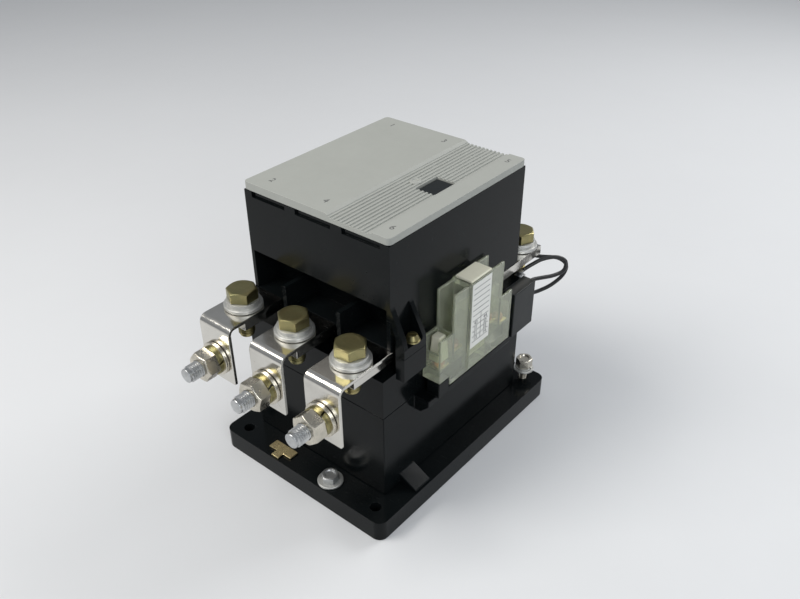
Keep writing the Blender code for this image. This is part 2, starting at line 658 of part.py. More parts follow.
def build_carrier():
    """Moving crosshead: beam, three contact posts, auxiliary arm and indicator flag."""
    beam_x = 0.5 * BEAM_WIDTH
    beam_y = 0.5 * BEAM_DEPTH
    carrier = box(-beam_x, beam_x, -beam_y, beam_y, BEAM_BOTTOM, BEAM_TOP)
    arm_x = 0.5 * SPRING_ARM_WIDTH
    join(carrier, box(-arm_x, arm_x, -SPRING_ARM, SPRING_ARM, BEAM_BOTTOM, BEAM_TOP - 0.001))
    post_x = 0.5 * POST_WIDTH
    post_y = 0.5 * POST_DEPTH
    for pole in POLES:
        join(carrier, box(pole - post_x, pole + post_x, -post_y, post_y, BEAM_TOP - OVERLAP, POST_TOP))
    join(carrier, box(beam_x - OVERLAP, ARM_REACH, -0.5 * ARM_WIDTH, 0.5 * ARM_WIDTH,
                      ARM_BOTTOM, ARM_BOTTOM + ARM_HEIGHT))
    join(carrier, box(WINDOW_X + FLAG_MARGIN, WINDOW_X + WINDOW_WIDTH - FLAG_MARGIN,
                      WINDOW_Y + FLAG_MARGIN, WINDOW_Y + WINDOW_LENGTH - FLAG_MARGIN,
                      POCKET_TOP + 0.5 * (POST_TOP - POCKET_TOP), FLAG_TOP))
    pocket = 0.5 * BRIDGE_WIDTH + WINDOW_SIDE
    for pole in POLES:
        cut(carrier, box(pole - pocket, pole + pocket, -post_y - OVERLAP, post_y + OVERLAP,
                         POCKET_BOTTOM, POCKET_TOP))
    finish(carrier, "contact_carrier", BLACK)


def coil_spring(x, y, low, high, wire, coil, turns):
    """A helical compression spring as one unbroken tube."""
    radius = 0.5 * (coil - wire)
    bottom = low + 0.5 * wire
    rise = high - low - wire
    count = int(round(turns * SPRING_STEPS))
    slope = math.atan2(rise, turns * 2 * math.pi * radius)
    bm = bmesh.new()
    rings = []
    for i in range(count + 1):
        angle = 2 * math.pi * i / SPRING_STEPS
        centre = Vector((x + radius * math.cos(angle), y + radius * math.sin(angle), bottom + rise * i / count))
        outward = Vector((math.cos(angle), math.sin(angle), 0.0))
        along = Vector((-math.sin(angle) * math.cos(slope), math.cos(angle) * math.cos(slope), math.sin(slope)))
        upward = outward.cross(along)
        ring = []
        for k in range(SPRING_SIDES):
            turn = 2 * math.pi * k / SPRING_SIDES
            ring.append(bm.verts.new(centre + 0.5 * wire * (math.cos(turn) * outward + math.sin(turn) * upward)))
        rings.append(ring)
    for i in range(count):
        for k in range(SPRING_SIDES):
            n = (k + 1) % SPRING_SIDES
            bm.faces.new((rings[i][k], rings[i][n], rings[i + 1][n], rings[i + 1][k]))
    bm.faces.new(rings[0])
    bm.faces.new(rings[-1])
    print("spring gap to itself mm", round(1000 * (rise / turns * math.cos(slope) - wire), 2))
    return from_bmesh(bm, "form")


def build_contacts():
    """Bridges, springs, terminal bars and arc chutes of the three poles."""
    wide = 0.5 * BRIDGE_WIDTH
    for number, pole in enumerate(POLES, 1):
        bridge = box(pole - wide, pole + wide, -0.5 * BRIDGE_LENGTH, 0.5 * BRIDGE_LENGTH, BRIDGE_BOTTOM, BRIDGE_TOP)
        for end in (1, -1):
            join(bridge, box(pole - 0.9 * wide, pole + 0.9 * wide, end * (TIP_CENTRE - 0.5 * TIP_LENGTH),
                             end * (TIP_CENTRE + 0.5 * TIP_LENGTH),
                             BRIDGE_BOTTOM - TIP_THICK, BRIDGE_BOTTOM + OVERLAP))
        finish(bridge, "contact_bridge_%d" % number, COPPER, (pole, 0.0, 0.0))
        spring = coil_spring(pole, 0.0, BRIDGE_TOP + FIT, POCKET_TOP - FIT, CONTACT_WIRE, CONTACT_COIL, CONTACT_TURNS)
        finish(spring, "contact_spring_%d" % number, STEEL, (pole, 0.0, 0.0))
        for end, side in ((-1, "load"), (1, "line")):
            half = 0.5 * BAR_WIDTH
            bar = box(pole - half, pole + half, end * BAR_IN, end * BAR_OUT, BAR_BOTTOM, BAR_TOP)
            outer = 0.5 * BAR_OUTER_WIDTH
            join(bar, box(pole - outer, pole + outer, end * BAR_SHOULDER, end * BAR_OUT, BAR_BOTTOM, BAR_TOP))
            join(bar, box(pole - 0.9 * wide, pole + 0.9 * wide, end * (TIP_CENTRE - 0.5 * TIP_LENGTH),
                          end * (TIP_CENTRE + 0.5 * TIP_LENGTH), BAR_TOP - OVERLAP, FIXED_TIP))
            cut(bar, rod(pole, end * BOLT_Y, TAPPED, "Z", BAR_BOTTOM - OVERLAP, FIXED_TIP))
            finish(bar, "%s_bar_%d" % (side, number), NICKEL)
        finish(chute(pole), "arc_chute_%d" % number, FIBRE)
    for end, name in ((-1, "near"), (1, "far")):
        spring = coil_spring(0.0, end * RETURN_OFFSET, BOBBIN_TOP + FIT, BEAM_BOTTOM - FIT,
                             RETURN_WIRE, RETURN_COIL, RETURN_TURNS)
        finish(spring, "return_spring_" + name, STEEL)


def chute(pole):
    """Comb of arc splitter plates hanging from one roof."""
    outer = CHUTE_FIRST + (CHUTE_FINS - 1) * CHUTE_PITCH + CHUTE_FIN
    roof = CHUTE_TOP - CHUTE_ROOF
    right = []
    for i in range(CHUTE_FINS):
        y = CHUTE_FIRST + i * CHUTE_PITCH
        low = CHUTE_LOW if y + CHUTE_FIN < 0.5 * CHAMBER_LENGTH - FIT else HEAD_STEP + FIT
        right += [(y, roof), (y, low), (y + CHUTE_FIN, low), (y + CHUTE_FIN, roof)]
    right[-1] = (outer, CHUTE_TOP)
    left = [(-y, z) for y, z in reversed(right)]
    return prism(right + left, "X", pole - CHUTE_LEFT, pole + CHUTE_RIGHT)


def terminal_bolt(pole, y, seat):
    """Hex bolt with a plain and a spring washer under its head."""
    washer_top = seat + WASHER_THICK
    head_low = washer_top + SPRING_WASHER_THICK
    bolt = rod(pole, y, BOLT_DIA, "Z", seat - BOLT_REACH, head_low + OVERLAP)
    join(bolt, rod(pole, y, WASHER_DIA, "Z", seat, washer_top))
    join(bolt, rod(pole, y, SPRING_WASHER_DIA, "Z", washer_top - 0.5 * OVERLAP, head_low))
    join(bolt, hexagon(pole, y, BOLT_FLATS, "Z", head_low - 0.5 * OVERLAP, head_low + BOLT_HEAD))
    return bolt


def link_outline():
    """Section of the right-angle terminal link with a rounded bend."""
    inner_bend = LINK_BEND - LINK_THICK
    centre = (-LINK_OUT + LINK_BEND, LINK_TOP - LINK_BEND)
    outline = [(-LINK_IN, LINK_TOP)]
    steps = 5
    for i in range(steps + 1):
        angle = 0.5 * math.pi * (1 + i / steps)
        outline.append((centre[0] + LINK_BEND * math.cos(angle), centre[1] + LINK_BEND * math.sin(angle)))
    outline += [(-LINK_OUT, LINK_BOTTOM), (-LINK_OUT + LINK_THICK, LINK_BOTTOM)]
    for i in range(steps + 1):
        angle = 0.5 * math.pi * (2 - i / steps)
        outline.append((centre[0] + inner_bend * math.cos(angle), centre[1] + inner_bend * math.sin(angle)))
    outline.append((-LINK_IN, LINK_TOP - LINK_THICK))
    return outline


def build_terminals():
    """Bolts on both sides, and the links, studs and nuts on the load side."""
    half = 0.5 * LINK_WIDTH
    for number, pole in enumerate(POLES, 1):
        finish(terminal_bolt(pole, -BOLT_Y, LINK_TOP + FIT), "load_bolt_%d" % number, YELLOW_ZINC)
        finish(terminal_bolt(pole, BOLT_Y, BAR_TOP + FIT), "line_bolt_%d" % number, YELLOW_ZINC)
        link = prism(link_outline(), "X", pole - half, pole + half)
        cut(link, rod(pole, -BOLT_Y, TAPPED, "Z", BAR_TOP, LINK_TOP + OVERLAP))
        cut(link, rod(pole, STUD_Z, TAPPED, "Y", -LINK_OUT - OVERLAP, -LINK_OUT + LINK_THICK + OVERLAP))
        finish(link, "load_link_%d" % number, NICKEL)
        seat = -LINK_OUT + LINK_THICK + FIT
        stud = rod(pole, STUD_Z, BOLT_DIA, "Y", -STUD_END, seat + OVERLAP)
        join(stud, rod(pole, STUD_Z, STUD_HEAD_DIA, "Y", seat, seat + STUD_HEAD))
        finish(stud, "link_stud_%d" % number, STEEL)
        face = -LINK_OUT - FIT
        washer = face - WASHER_THICK
        nut_face = washer - SPRING_WASHER_THICK
        nut = rod(pole, STUD_Z, NUT_WASHER_DIA, "Y", face, washer)
        join(nut, rod(pole, STUD_Z, SPRING_WASHER_DIA, "Y", washer + 0.5 * OVERLAP, nut_face))
        join(nut, hexagon(pole, STUD_Z, BOLT_FLATS, "Y", nut_face + 0.5 * OVERLAP, nut_face - NUT_HEIGHT,
                          math.pi / 6))
        cut(nut, rod(pole, STUD_Z, TAPPED, "Y", face + OVERLAP, nut_face - NUT_HEIGHT - OVERLAP))
        finish(nut, "link_nut_%d" % number, NICKEL)


def build_auxiliary():
    """Clip-on auxiliary contact block with its slider and cap."""
    rest = BODY_TOP + FIT
    wing_near = TOWER_NEAR - WING_LENGTH
    wing_far = TOWER_FAR + WING_LENGTH
    body = box(AUX_BACK, AUX_FRONT, AUX_NEAR, AUX_FAR, AUX_LOW, AUX_SILL)
    join(body, box(AUX_BACK, RAIL_REACH, AUX_FOOT_NEAR, AUX_FOOT_FAR, rest, AUX_LOW + OVERLAP))
    for near, far, top in ((AUX_NEAR, AUX_FAR, AUX_STEP), (wing_near, wing_far, AUX_CROWN)):
        join(body, box(AUX_FRONT - AUX_PLATE, AUX_FRONT, near, far, AUX_SILL - OVERLAP, top))
        join(body, box(AUX_BACK, AUX_BACK + AUX_PLATE, near, far, AUX_SILL - OVERLAP, top))
    for y in (wing_near, wing_far - AUX_PLATE):
        join(body, box(AUX_BACK + FIT, AUX_FRONT - FIT, y, y + AUX_PLATE, AUX_SILL - OVERLAP, AUX_STEP - OVERLAP))
    for y in (AUX_NEAR, AUX_FAR - AUX_PLATE):
        join(body, box(AUX_BACK + FIT, AUX_FRONT - FIT, y, y + AUX_PLATE, AUX_SILL - OVERLAP, AUX_SILL + AUX_END_RISE))
    join(body, box(AUX_BACK, AUX_FACE, TOWER_NEAR, TOWER_FAR, AUX_LOW + TOWER_WALL, TOWER_TOP))
    cut(body, box(AUX_BACK - OVERLAP, AUX_FACE, AUX_NEAR - OVERLAP, AUX_NEAR + FOOT_LENGTH + FIT,
                  AUX_LOW - OVERLAP, BODY_TOP + FOOT_RISE + FIT))
    room_near = TOWER_NEAR + TOWER_WALL
    room_far = TOWER_FAR - TOWER_WALL
    room_low = SLIDER_BOTTOM - TRAVEL - RUNNING_FIT
    cut(body, box(AUX_BACK - OVERLAP, AUX_FACE - TOWER_WALL, room_near, room_far, room_low, TOWER_TOP - 0.004))
    finish(body, "aux_housing", AGED)

    back = AUX_BACK + RUNNING_FIT
    front = AUX_FACE - TOWER_WALL - RUNNING_FIT
    slider = box(back, front, room_near + RUNNING_FIT, room_far - RUNNING_FIT, SLIDER_BOTTOM, SLIDER_TOP)
    notch = 0.5 * ARM_WIDTH + FIT
    cut(slider, box(back - OVERLAP, ARM_REACH + FIT, -notch, notch,
                    SLIDER_BOTTOM - OVERLAP, ARM_BOTTOM + ARM_HEIGHT + FIT))
    finish(slider, "aux_slider", IVORY, (0.5 * (back + front), 0.5 * (room_near + room_far), 0.0))

    middle_x = AUX_FACE - 0.5 * CAP_WIDTH - 0.0005
    middle_y = 0.5 * (TOWER_NEAR + TOWER_FAR)
    cap = box(middle_x - 0.5 * CAP_WIDTH, middle_x + 0.5 * CAP_WIDTH, middle_y - 0.5 * CAP_LENGTH,
              middle_y + 0.5 * CAP_LENGTH, TOWER_TOP + FIT, TOWER_TOP + FIT + CAP_HEIGHT)
    finish(cap, "aux_cap", IVORY)


def lead_points(route, pieces):
    """Smooth curve through chosen route points."""
    points = [Vector(p) for p in route]
    points = [2 * points[0] - points[1]] + points + [2 * points[-1] - points[-2]]
    smooth = []
    for i in range(1, len(points) - 2):
        a, b, c, d = points[i - 1:i + 3]
        for k in range(pieces):
            t = k / pieces
            smooth.append(0.5 * (2 * b + (c - a) * t + (2 * a - 5 * b + 4 * c - d) * t * t
                                 + (3 * b - a - 3 * c + d) * t ** 3))
    smooth.append(points[-2])
    return smooth


def build_leads():
    """Suppressor box and its two leads to the coil terminals."""
    back = AUX_BACK
    front = back + SUPPRESSOR_THICK
    block = box(back, front, SUPPRESSOR_NEAR, SUPPRESSOR_FAR, SUPPRESSOR_BOTTOM, SUPPRESSOR_TOP)
    finish(block, "suppressor", BLACK)
    start = SUPPRESSOR_FAR + LEAD_GAP
    first, second = TERMINAL_X
    level = LEDGE_TOP + FIT + 0.5 * TERMINAL_PLATE + 0.0022
    arrive = TERMINAL_Y + 0.5 * TERMINAL_SIZE + LEAD_GAP
    out = back + 0.0047
    upper = [(out, start, 0.0985), (out, start + 0.004, 0.0985), (out + 0.003, start + 0.0104, 0.0980),
             (out + 0.007, start + 0.0184, 0.0975), (out + 0.0095, start + 0.0264, 0.0985),
             (out + 0.008, start + 0.0304, 0.1030), (out + 0.003, start + 0.0264, 0.1062),
             (out - 0.0025, start + 0.0184, 0.1062), (out - 0.0065, start + 0.0124, 0.1035),
             (second, arrive + 0.003, level), (second, arrive, level)]
    lower = [(out, start, 0.0880), (out, start + 0.004, 0.0880), (out + 0.0022, start + 0.0099, 0.0880),
             (out + 0.006, start + 0.0184, 0.0900), (out + 0.0085, start + 0.0279, 0.0940),
             (out + 0.007, start + 0.0339, 0.0985), (out + 0.0005, start + 0.0334, 0.1015),
             (out - 0.0085, start + 0.0274, 0.1020), (out - 0.0175, start + 0.0229, 0.1020),
             (first + 0.001, start + 0.0164, 0.1015), (first, arrive + 0.004, level), (first, arrive, level)]
    for number, route in ((1, upper), (2, lower)):
        curve = bpy.data.curves.new("lead", "CURVE")
        curve.dimensions = "3D"
        curve.bevel_depth = 0.5 * LEAD_DIA
        curve.bevel_resolution = 2
        curve.use_fill_caps = True
        points = lead_points(route, 3)
        spline = curve.splines.new("POLY")
        spline.points.add(len(points) - 1)
        for target, point in zip(spline.points, points):
            target.co = (*point, 1.0)
        length = sum((b - a).length for a, b in zip(points, points[1:]))
        print("lead", number, "length mm", round(1000 * length, 1))
        name = "suppressor_lead_%d" % number
        item = bpy.data.objects.new(name, curve)
        bpy.context.scene.collection.objects.link(item)
        graph = bpy.context.evaluated_depsgraph_get()
        mesh = bpy.data.meshes.new_from_object(item.evaluated_get(graph))
        bpy.data.objects.remove(item, do_unlink=True)
        finish(new_object(name, mesh), name, BLACK)


def build_small_parts():
    """Screws, the loose mounting screw, the coil terminals and the core clip."""
    seat = LUG_TOP + FIT
    screw = rod(CHAMBER_SCREW_X, -CHAMBER_SCREW_Y, CHAMBER_SCREW_DIA, "Z", seat - CHAMBER_SCREW_DEPTH,
                seat + OVERLAP, SMALL_ROUND)
    join(screw, rod(CHAMBER_SCREW_X, -CHAMBER_SCREW_Y, CHAMBER_SCREW_HEAD, "Z", seat, seat + CHAMBER_SCREW_RISE))
    finish(screw, "chamber_screw", YELLOW_ZINC)
    for end, name in ((-1, "near"), (1, "far")):
        x = -end * BASE_SCREW_X
        y = end * BASE_SCREW_Y
        seat = BASE_THICK + FIT
        head = seat + BASE_SCREW_WASHER_THICK
        screw = rod(x, y, BASE_SCREW_DIA, "Z", seat - BASE_SCREW_DEPTH, head + OVERLAP, SMALL_ROUND)
        join(screw, rod(x, y, BASE_SCREW_WASHER, "Z", seat, head))
        join(screw, hexagon(x, y, BASE_SCREW_FLATS, "Z", head - 0.5 * OVERLAP, head + BASE_SCREW_HEAD))
        finish(screw, "base_screw_" + name, YELLOW_ZINC)
    x = 0.5 * HOLE_PITCH_X
    y = 0.5 * HOLE_PITCH_Y
    top = MOUNT_SCREW_SEAT + MOUNT_SCREW_WASHER_THICK
    screw = rod(x, y, HOLE_DIA - 0.001, "Z", MOUNT_SCREW_TIP, top + OVERLAP, SMALL_ROUND)
    join(screw, rod(x, y, MOUNT_SCREW_WASHER, "Z", MOUNT_SCREW_SEAT, top))
    join(screw, hexagon(x, y, BASE_SCREW_FLATS, "Z", top - 0.5 * OVERLAP, top + MOUNT_SCREW_HEAD))
    finish(screw, "mounting_screw", YELLOW_ZINC)
    for number, x in enumerate(TERMINAL_X, 1):
        half = 0.5 * TERMINAL_SIZE
        low = LEDGE_TOP + FIT
        plate = box(x - half, x + half, TERMINAL_Y - half, TERMINAL_Y + half, low, low + TERMINAL_PLATE)
        join(plate, rod(x, TERMINAL_Y, TERMINAL_HEAD, "Z", low + 0.5 * TERMINAL_PLATE,
                        low + TERMINAL_PLATE + TERMINAL_RISE, SMALL_ROUND))
        finish(plate, "coil_terminal_%d" % number, NICKEL)
    low = BASE_THICK + FIT
    clip = box(CLIP_X - 0.5 * CLIP_WIDTH, CLIP_X + 0.5 * CLIP_WIDTH, -CLIP_FAR, -CLIP_NEAR, low, low + CLIP_THICK)
    join(clip, box(CLIP_X - 0.5 * TONGUE_WIDTH, CLIP_X + 0.5 * TONGUE_WIDTH, -TONGUE_END, -CLIP_FAR + OVERLAP,
                   low, low + CLIP_THICK))
    finish(clip, "core_clip", BRASS)


def main():
    """Build every piece in its place."""
    clear_scene()
    build_base()
    build_lower_housing()
    build_contact_frame()
    build_arc_chamber()
    build_cover()
    build_magnet()
    build_carrier()
    build_contacts()
    build_terminals()
    build_auxiliary()
    build_leads()
    build_small_parts()


main()
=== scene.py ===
"""Looks of a three-pole magnetic contactor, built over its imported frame."""
import math

import bpy
from mathutils import Matrix, Vector


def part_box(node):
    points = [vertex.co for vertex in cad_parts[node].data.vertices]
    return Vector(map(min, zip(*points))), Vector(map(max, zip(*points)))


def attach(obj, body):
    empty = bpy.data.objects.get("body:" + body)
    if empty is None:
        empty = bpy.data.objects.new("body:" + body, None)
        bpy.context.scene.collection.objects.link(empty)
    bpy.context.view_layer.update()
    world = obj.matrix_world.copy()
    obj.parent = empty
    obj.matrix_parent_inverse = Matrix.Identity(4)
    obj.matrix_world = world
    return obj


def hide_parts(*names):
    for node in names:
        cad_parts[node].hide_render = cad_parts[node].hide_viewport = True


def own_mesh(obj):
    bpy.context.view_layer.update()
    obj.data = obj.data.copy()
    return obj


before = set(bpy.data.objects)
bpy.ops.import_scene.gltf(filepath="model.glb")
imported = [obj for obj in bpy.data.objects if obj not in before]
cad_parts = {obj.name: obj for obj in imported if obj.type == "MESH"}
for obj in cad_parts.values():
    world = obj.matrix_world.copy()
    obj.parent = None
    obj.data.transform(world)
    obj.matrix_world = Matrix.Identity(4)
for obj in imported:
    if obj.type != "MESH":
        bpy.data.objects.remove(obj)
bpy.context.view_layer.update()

bl_info = {
    "name": "Contactor looks",
    "version": (1, 0, 0),
    "blender": (4, 5, 0),
    "location": "3D View > Sidebar > Contactor",
    "description": "Dresses the packed contactor and sets its stage",
    "category": "Object",
}

POLES = (1, 2, 3)
MM = 0.001
MERGE_REACH = 0.05 * MM
EDGE_ANGLE = 38
SMOOTH_ANGLE = math.radians(35)
COIL_ANGLE = math.radians(60)
FLAT_ANGLE = math.radians(1.0)
UPWARD = 0.99


def length(title, words, value):
    """A length property in metres."""
    return bpy.props.FloatProperty(name=title, description=words, default=value, unit="LENGTH", precision=5)


def colour(title, words, value):
    """A colour property."""
    return bpy.props.FloatVectorProperty(name=title, description=words, default=value, subtype="COLOR",
                                         size=3, min=0.0, max=1.0)


class ContactorSizes(bpy.types.PropertyGroup):
    """Sizes of the dressing."""
    mould_edge: length("Mould edge", "Rounding of the black mouldings", 0.0006)
    cover_edge: length("Cover edge", "Rounding of the lid", 0.0012)
    sheet_edge: length("Sheet edge", "Rounding of plates and links", 0.0004)
    thread_pitch: length("Thread pitch", "Pitch of the terminal threads", 0.0015)
    thread_depth: length("Thread depth", "Depth of the terminal threads", 0.0008)
    dish_depth: length("Dish depth", "Depth of the dished bolt heads", 0.0003)
    digit_height: length("Digit height", "Height of the terminal numbers", 0.0062)
    lead_diameter: length("Lead diameter", "Diameter of the suppressor leads", 0.0026)


class ContactorColours(bpy.types.PropertyGroup):
    """Colours of the dressing."""
    # The slight teal tint of this black is a painted reflection of blue cloth on the glossy housing, on top
    # of its real black.
    black: colour("Black moulding", "Glossy housing", (0.0032, 0.0042, 0.0045))
    grey: colour("Grey lid", "Pale grey lid", (0.36, 0.37, 0.34))
    gold: colour("Yellow zinc", "Plating of bolts and screws", (0.36, 0.31, 0.15))
    gold_worn: colour("Worn yellow zinc", "Darker tone of that plating", (0.25, 0.24, 0.12))
    zinc: colour("Grey zinc", "Plating of studs, base screws and springs", (0.60, 0.61, 0.61))
    washer: colour("Matte zinc", "Plating of the terminal washers", (0.66, 0.66, 0.63))
    washer_worn: colour("Worn matte zinc", "Darker tone of that plating", (0.50, 0.50, 0.48))
    nut: colour("Warm nickel", "Plating of the link nuts", (0.68, 0.64, 0.55))
    nut_worn: colour("Worn warm nickel", "Darker tone of that plating", (0.52, 0.49, 0.42))
    nickel: colour("Nickel", "Plating of links and bars", (0.72, 0.70, 0.65))
    brass: colour("Brass", "Core clip and clamps", (0.80, 0.66, 0.36))
    copper: colour("Copper", "Bridges, rings and clamp screws", (0.72, 0.36, 0.20))
    steel: colour("Steel", "Laminations and splitters", (0.30, 0.30, 0.31))
    winding: colour("Winding", "Tape around the coil", (0.22, 0.11, 0.05))
    winding_worn: colour("Worn winding", "Darker tone of that tape", (0.14, 0.07, 0.03))
    lead: colour("Lead sleeve", "Sleeve of the suppressor leads", (0.010, 0.010, 0.011))
    lead_worn: colour("Worn lead sleeve", "Paler tone of that sleeve", (0.022, 0.022, 0.023))
    aged: colour("Aged clear plastic", "Auxiliary block", (0.90, 0.94, 0.76))
    ivory: colour("Ivory", "Auxiliary cap and slider", (0.82, 0.80, 0.64))
    paper: colour("Paper", "Plain label", (0.80, 0.80, 0.76))
    ink: colour("Ink", "Printed digits and rules", (0.05, 0.05, 0.05))
    floor: colour("Floor", "Pale floor", (0.70, 0.71, 0.72))


def sizes():
    """The sizes in use."""
    return bpy.context.scene.contactor_sizes


def colours():
    """The colours in use."""
    return bpy.context.scene.contactor_colours


# Selection and modifier helpers

def pick(*items):
    """Leave only these objects selected, the first one active."""
    if bpy.context.mode != "OBJECT":
        bpy.ops.object.mode_set(mode="OBJECT")
    bpy.ops.object.select_all(action="DESELECT")
    for item in items:
        item.select_set(True)
    bpy.context.view_layer.objects.active = items[0]
    return items[0]


def clear_selection():
    """Deselect everything before a primitive is added."""
    if bpy.context.mode != "OBJECT":
        bpy.ops.object.mode_set(mode="OBJECT")
    bpy.ops.object.select_all(action="DESELECT")


def select_faces(item, test):
    """Enter edit mode with the faces that pass a test selected."""
    pick(item)
    bpy.ops.object.mode_set(mode="EDIT")
    bpy.ops.mesh.select_mode(type="FACE")
    bpy.ops.mesh.select_all(action="DESELECT")
    bpy.ops.object.mode_set(mode="OBJECT")
    for face in item.data.polygons:
        face.select = test(face)
    bpy.ops.object.mode_set(mode="EDIT")


def select_top(item):
    """Enter edit mode with the upward faces selected."""
    select_faces(item, lambda face: face.normal.z > UPWARD)


def leave_edit():
    """Back to object mode."""
    bpy.ops.object.mode_set(mode="OBJECT")


def apply_modifier(item, kind, **settings):
    """Add a modifier, set it and apply it."""
    pick(item)
    step = item.modifiers.new(kind.lower(), kind)
    for name, value in settings.items():
        setattr(step, name, value)
    bpy.ops.object.modifier_apply(modifier=step.name)


def soften(item, width, segments=2, angle=EDGE_ANGLE):
    """Shade the piece smooth by angle, round its edges and keep flat faces flat."""
    pick(item)
    bpy.ops.object.shade_smooth_by_angle(angle=SMOOTH_ANGLE)
    apply_modifier(item, "BEVEL", width=width, segments=segments, limit_method="ANGLE",
                   angle_limit=math.radians(angle), use_clamp_overlap=True)
    apply_modifier(item, "WEIGHTED_NORMAL", mode="FACE_AREA", weight=100, keep_sharp=True)


def carve(item, tool, operation="DIFFERENCE"):
    """Cut or join one piece with another, then drop the tool."""
    apply_modifier(item, "BOOLEAN", object=tool, operation=operation, solver="EXACT")
    bpy.data.objects.remove(tool, do_unlink=True)


def new_box(low, high):
    """A cube primitive brought to two corners."""
    clear_selection()
    bpy.ops.mesh.primitive_cube_add(size=1.0)
    item = bpy.context.active_object
    low = Vector(low)
    high = Vector(high)
    item.scale = high - low
    item.location = 0.5 * (low + high)
    return bake(item)


def new_disc(centre, radius, depth, sides=48):
    """A cylinder primitive standing on its centre."""
    clear_selection()
    bpy.ops.mesh.primitive_cylinder_add(vertices=sides, radius=radius, depth=depth,
                                        location=Vector(centre) + Vector((0, 0, 0.5 * depth)))
    return bake(bpy.context.active_object)


def bake(item):
    """Put a piece's place and turn into its mesh."""
    pick(item)
    bpy.ops.object.transform_apply(location=True, rotation=True, scale=True)
    return item


def merge(first, *others):
    """Join pieces into one object."""
    pick(first, *others)
    bpy.ops.object.join()
    return bpy.context.active_object


def twin(source, name, matrix):
    """A copy with its own mesh, moved by a matrix."""
    item = source.copy()
    item.data = source.data.copy()
    item.data.transform(matrix)
    item.name = name
    item.data.name = name
    bpy.context.scene.collection.objects.link(item)
    return item


def finish_piece(item, name, look, body="frame", nodes=()):
    """Name a piece, give it its look and let it ride."""
    item.name = name
    item.data.name = name
    item.data.materials.clear()
    item.data.materials.append(look)
    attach(item, body)
    if nodes:
        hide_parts(*nodes)
    return item


def place_copy(source, name, matrix, look, nodes=()):
    """A placed copy of a master that rides on the frame."""
    return finish_piece(twin(source, name, matrix), name, look, "frame", nodes)


def merged_copy(node):
    """A copy of a CAD node with its loose triangles joined."""
    item = bpy.data.objects.new(node + "_skin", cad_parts[node].data.copy())
    bpy.context.scene.collection.objects.link(item)
    pick(item)
    bpy.ops.object.mode_set(mode="EDIT")
    bpy.ops.mesh.select_all(action="SELECT")
    bpy.ops.mesh.remove_doubles(threshold=MERGE_REACH)
    bpy.ops.mesh.dissolve_limited(angle_limit=FLAT_ANGLE)
    bpy.ops.mesh.normals_make_consistent(inside=False)
    leave_edit()
    return item


def coil_spring(node, body):
    """A round wire coil, shaded smooth, that rides on its body."""
    item = merged_copy(node)
    pick(item)
    bpy.ops.object.shade_smooth_by_angle(angle=COIL_ANGLE)
    finish_piece(item, node + "_coil", LOOKS["zinc"], body, (node,))
    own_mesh(item)


def dress(node, look, edge, body="frame", segments=2, angle=EDGE_ANGLE):
    """A softened copy that stands for a CAD node."""
    item = merged_copy(node)
    soften(item, edge, segments, angle)
    return finish_piece(item, node + "_skin", look, body, (node,))


# Shader groups

def socket(group, name, kind, way, value=None):
    """Add one socket to a group's interface."""
    item = group.interface.new_socket(name=name, in_out=way, socket_type=kind)
    if value is not None:
        item.default_value = value
    return item


def new_group(name):
    """An empty shader group with its end nodes."""
    group = bpy.data.node_groups.new(name, "ShaderNodeTree")
    start = group.nodes.new("NodeGroupInput")
    end = group.nodes.new("NodeGroupOutput")
    return group, start, end


def handling_group():
    """Slow smudges, fine specks and thin scratches in object space."""
    group, start, end = new_group("handling")
    socket(group, "Scale", "NodeSocketFloat", "INPUT", 30.0)
    socket(group, "Smudge", "NodeSocketFloat", "OUTPUT")
    socket(group, "Speck", "NodeSocketFloat", "OUTPUT")
    socket(group, "Scratch", "NodeSocketFloat", "OUTPUT")
    nodes = group.nodes
    links = group.links
    place = nodes.new("ShaderNodeTexCoord")
    broad = nodes.new("ShaderNodeTexNoise")
    broad.inputs["Detail"].default_value = 5.0
    broad.inputs["Roughness"].default_value = 0.6
    links.new(place.outputs["Object"], broad.inputs["Vector"])
    links.new(start.outputs["Scale"], broad.inputs["Scale"])
    soft = nodes.new("ShaderNodeMapRange")
    soft.inputs["From Min"].default_value = 0.35
    soft.inputs["From Max"].default_value = 0.68
    links.new(broad.outputs["Fac"], soft.inputs["Value"])
    links.new(soft.outputs["Result"], end.inputs["Smudge"])
    times = nodes.new("ShaderNodeMath")
    times.operation = "MULTIPLY"
    times.inputs[1].default_value = 28.0
    links.new(start.outputs["Scale"], times.inputs[0])
    fine = nodes.new("ShaderNodeTexNoise")
    fine.inputs["Detail"].default_value = 2.0
    links.new(place.outputs["Object"], fine.inputs["Vector"])
    links.new(times.outputs["Value"], fine.inputs["Scale"])
    dots = nodes.new("ShaderNodeMapRange")
    dots.inputs["From Min"].default_value = 0.68
    dots.inputs["From Max"].default_value = 0.76
    links.new(fine.outputs["Fac"], dots.inputs["Value"])
    links.new(dots.outputs["Result"], end.inputs["Speck"])
    stretch = nodes.new("ShaderNodeMapping")
    stretch.inputs["Rotation"].default_value = (0.5, 0.4, 0.7)
    stretch.inputs["Scale"].default_value = (1.0, 22.0, 9.0)
    links.new(place.outputs["Object"], stretch.inputs["Vector"])
    hair = nodes.new("ShaderNodeTexNoise")
    hair.inputs["Detail"].default_value = 3.0
    hair.inputs["Scale"].default_value = 60.0
    links.new(stretch.outputs["Vector"], hair.inputs["Vector"])
    thin = nodes.new("ShaderNodeMapRange")
    thin.inputs["From Min"].default_value = 0.66
    thin.inputs["From Max"].default_value = 0.74
    links.new(hair.outputs["Fac"], thin.inputs["Value"])
    links.new(thin.outputs["Result"], end.inputs["Scratch"])
    return group


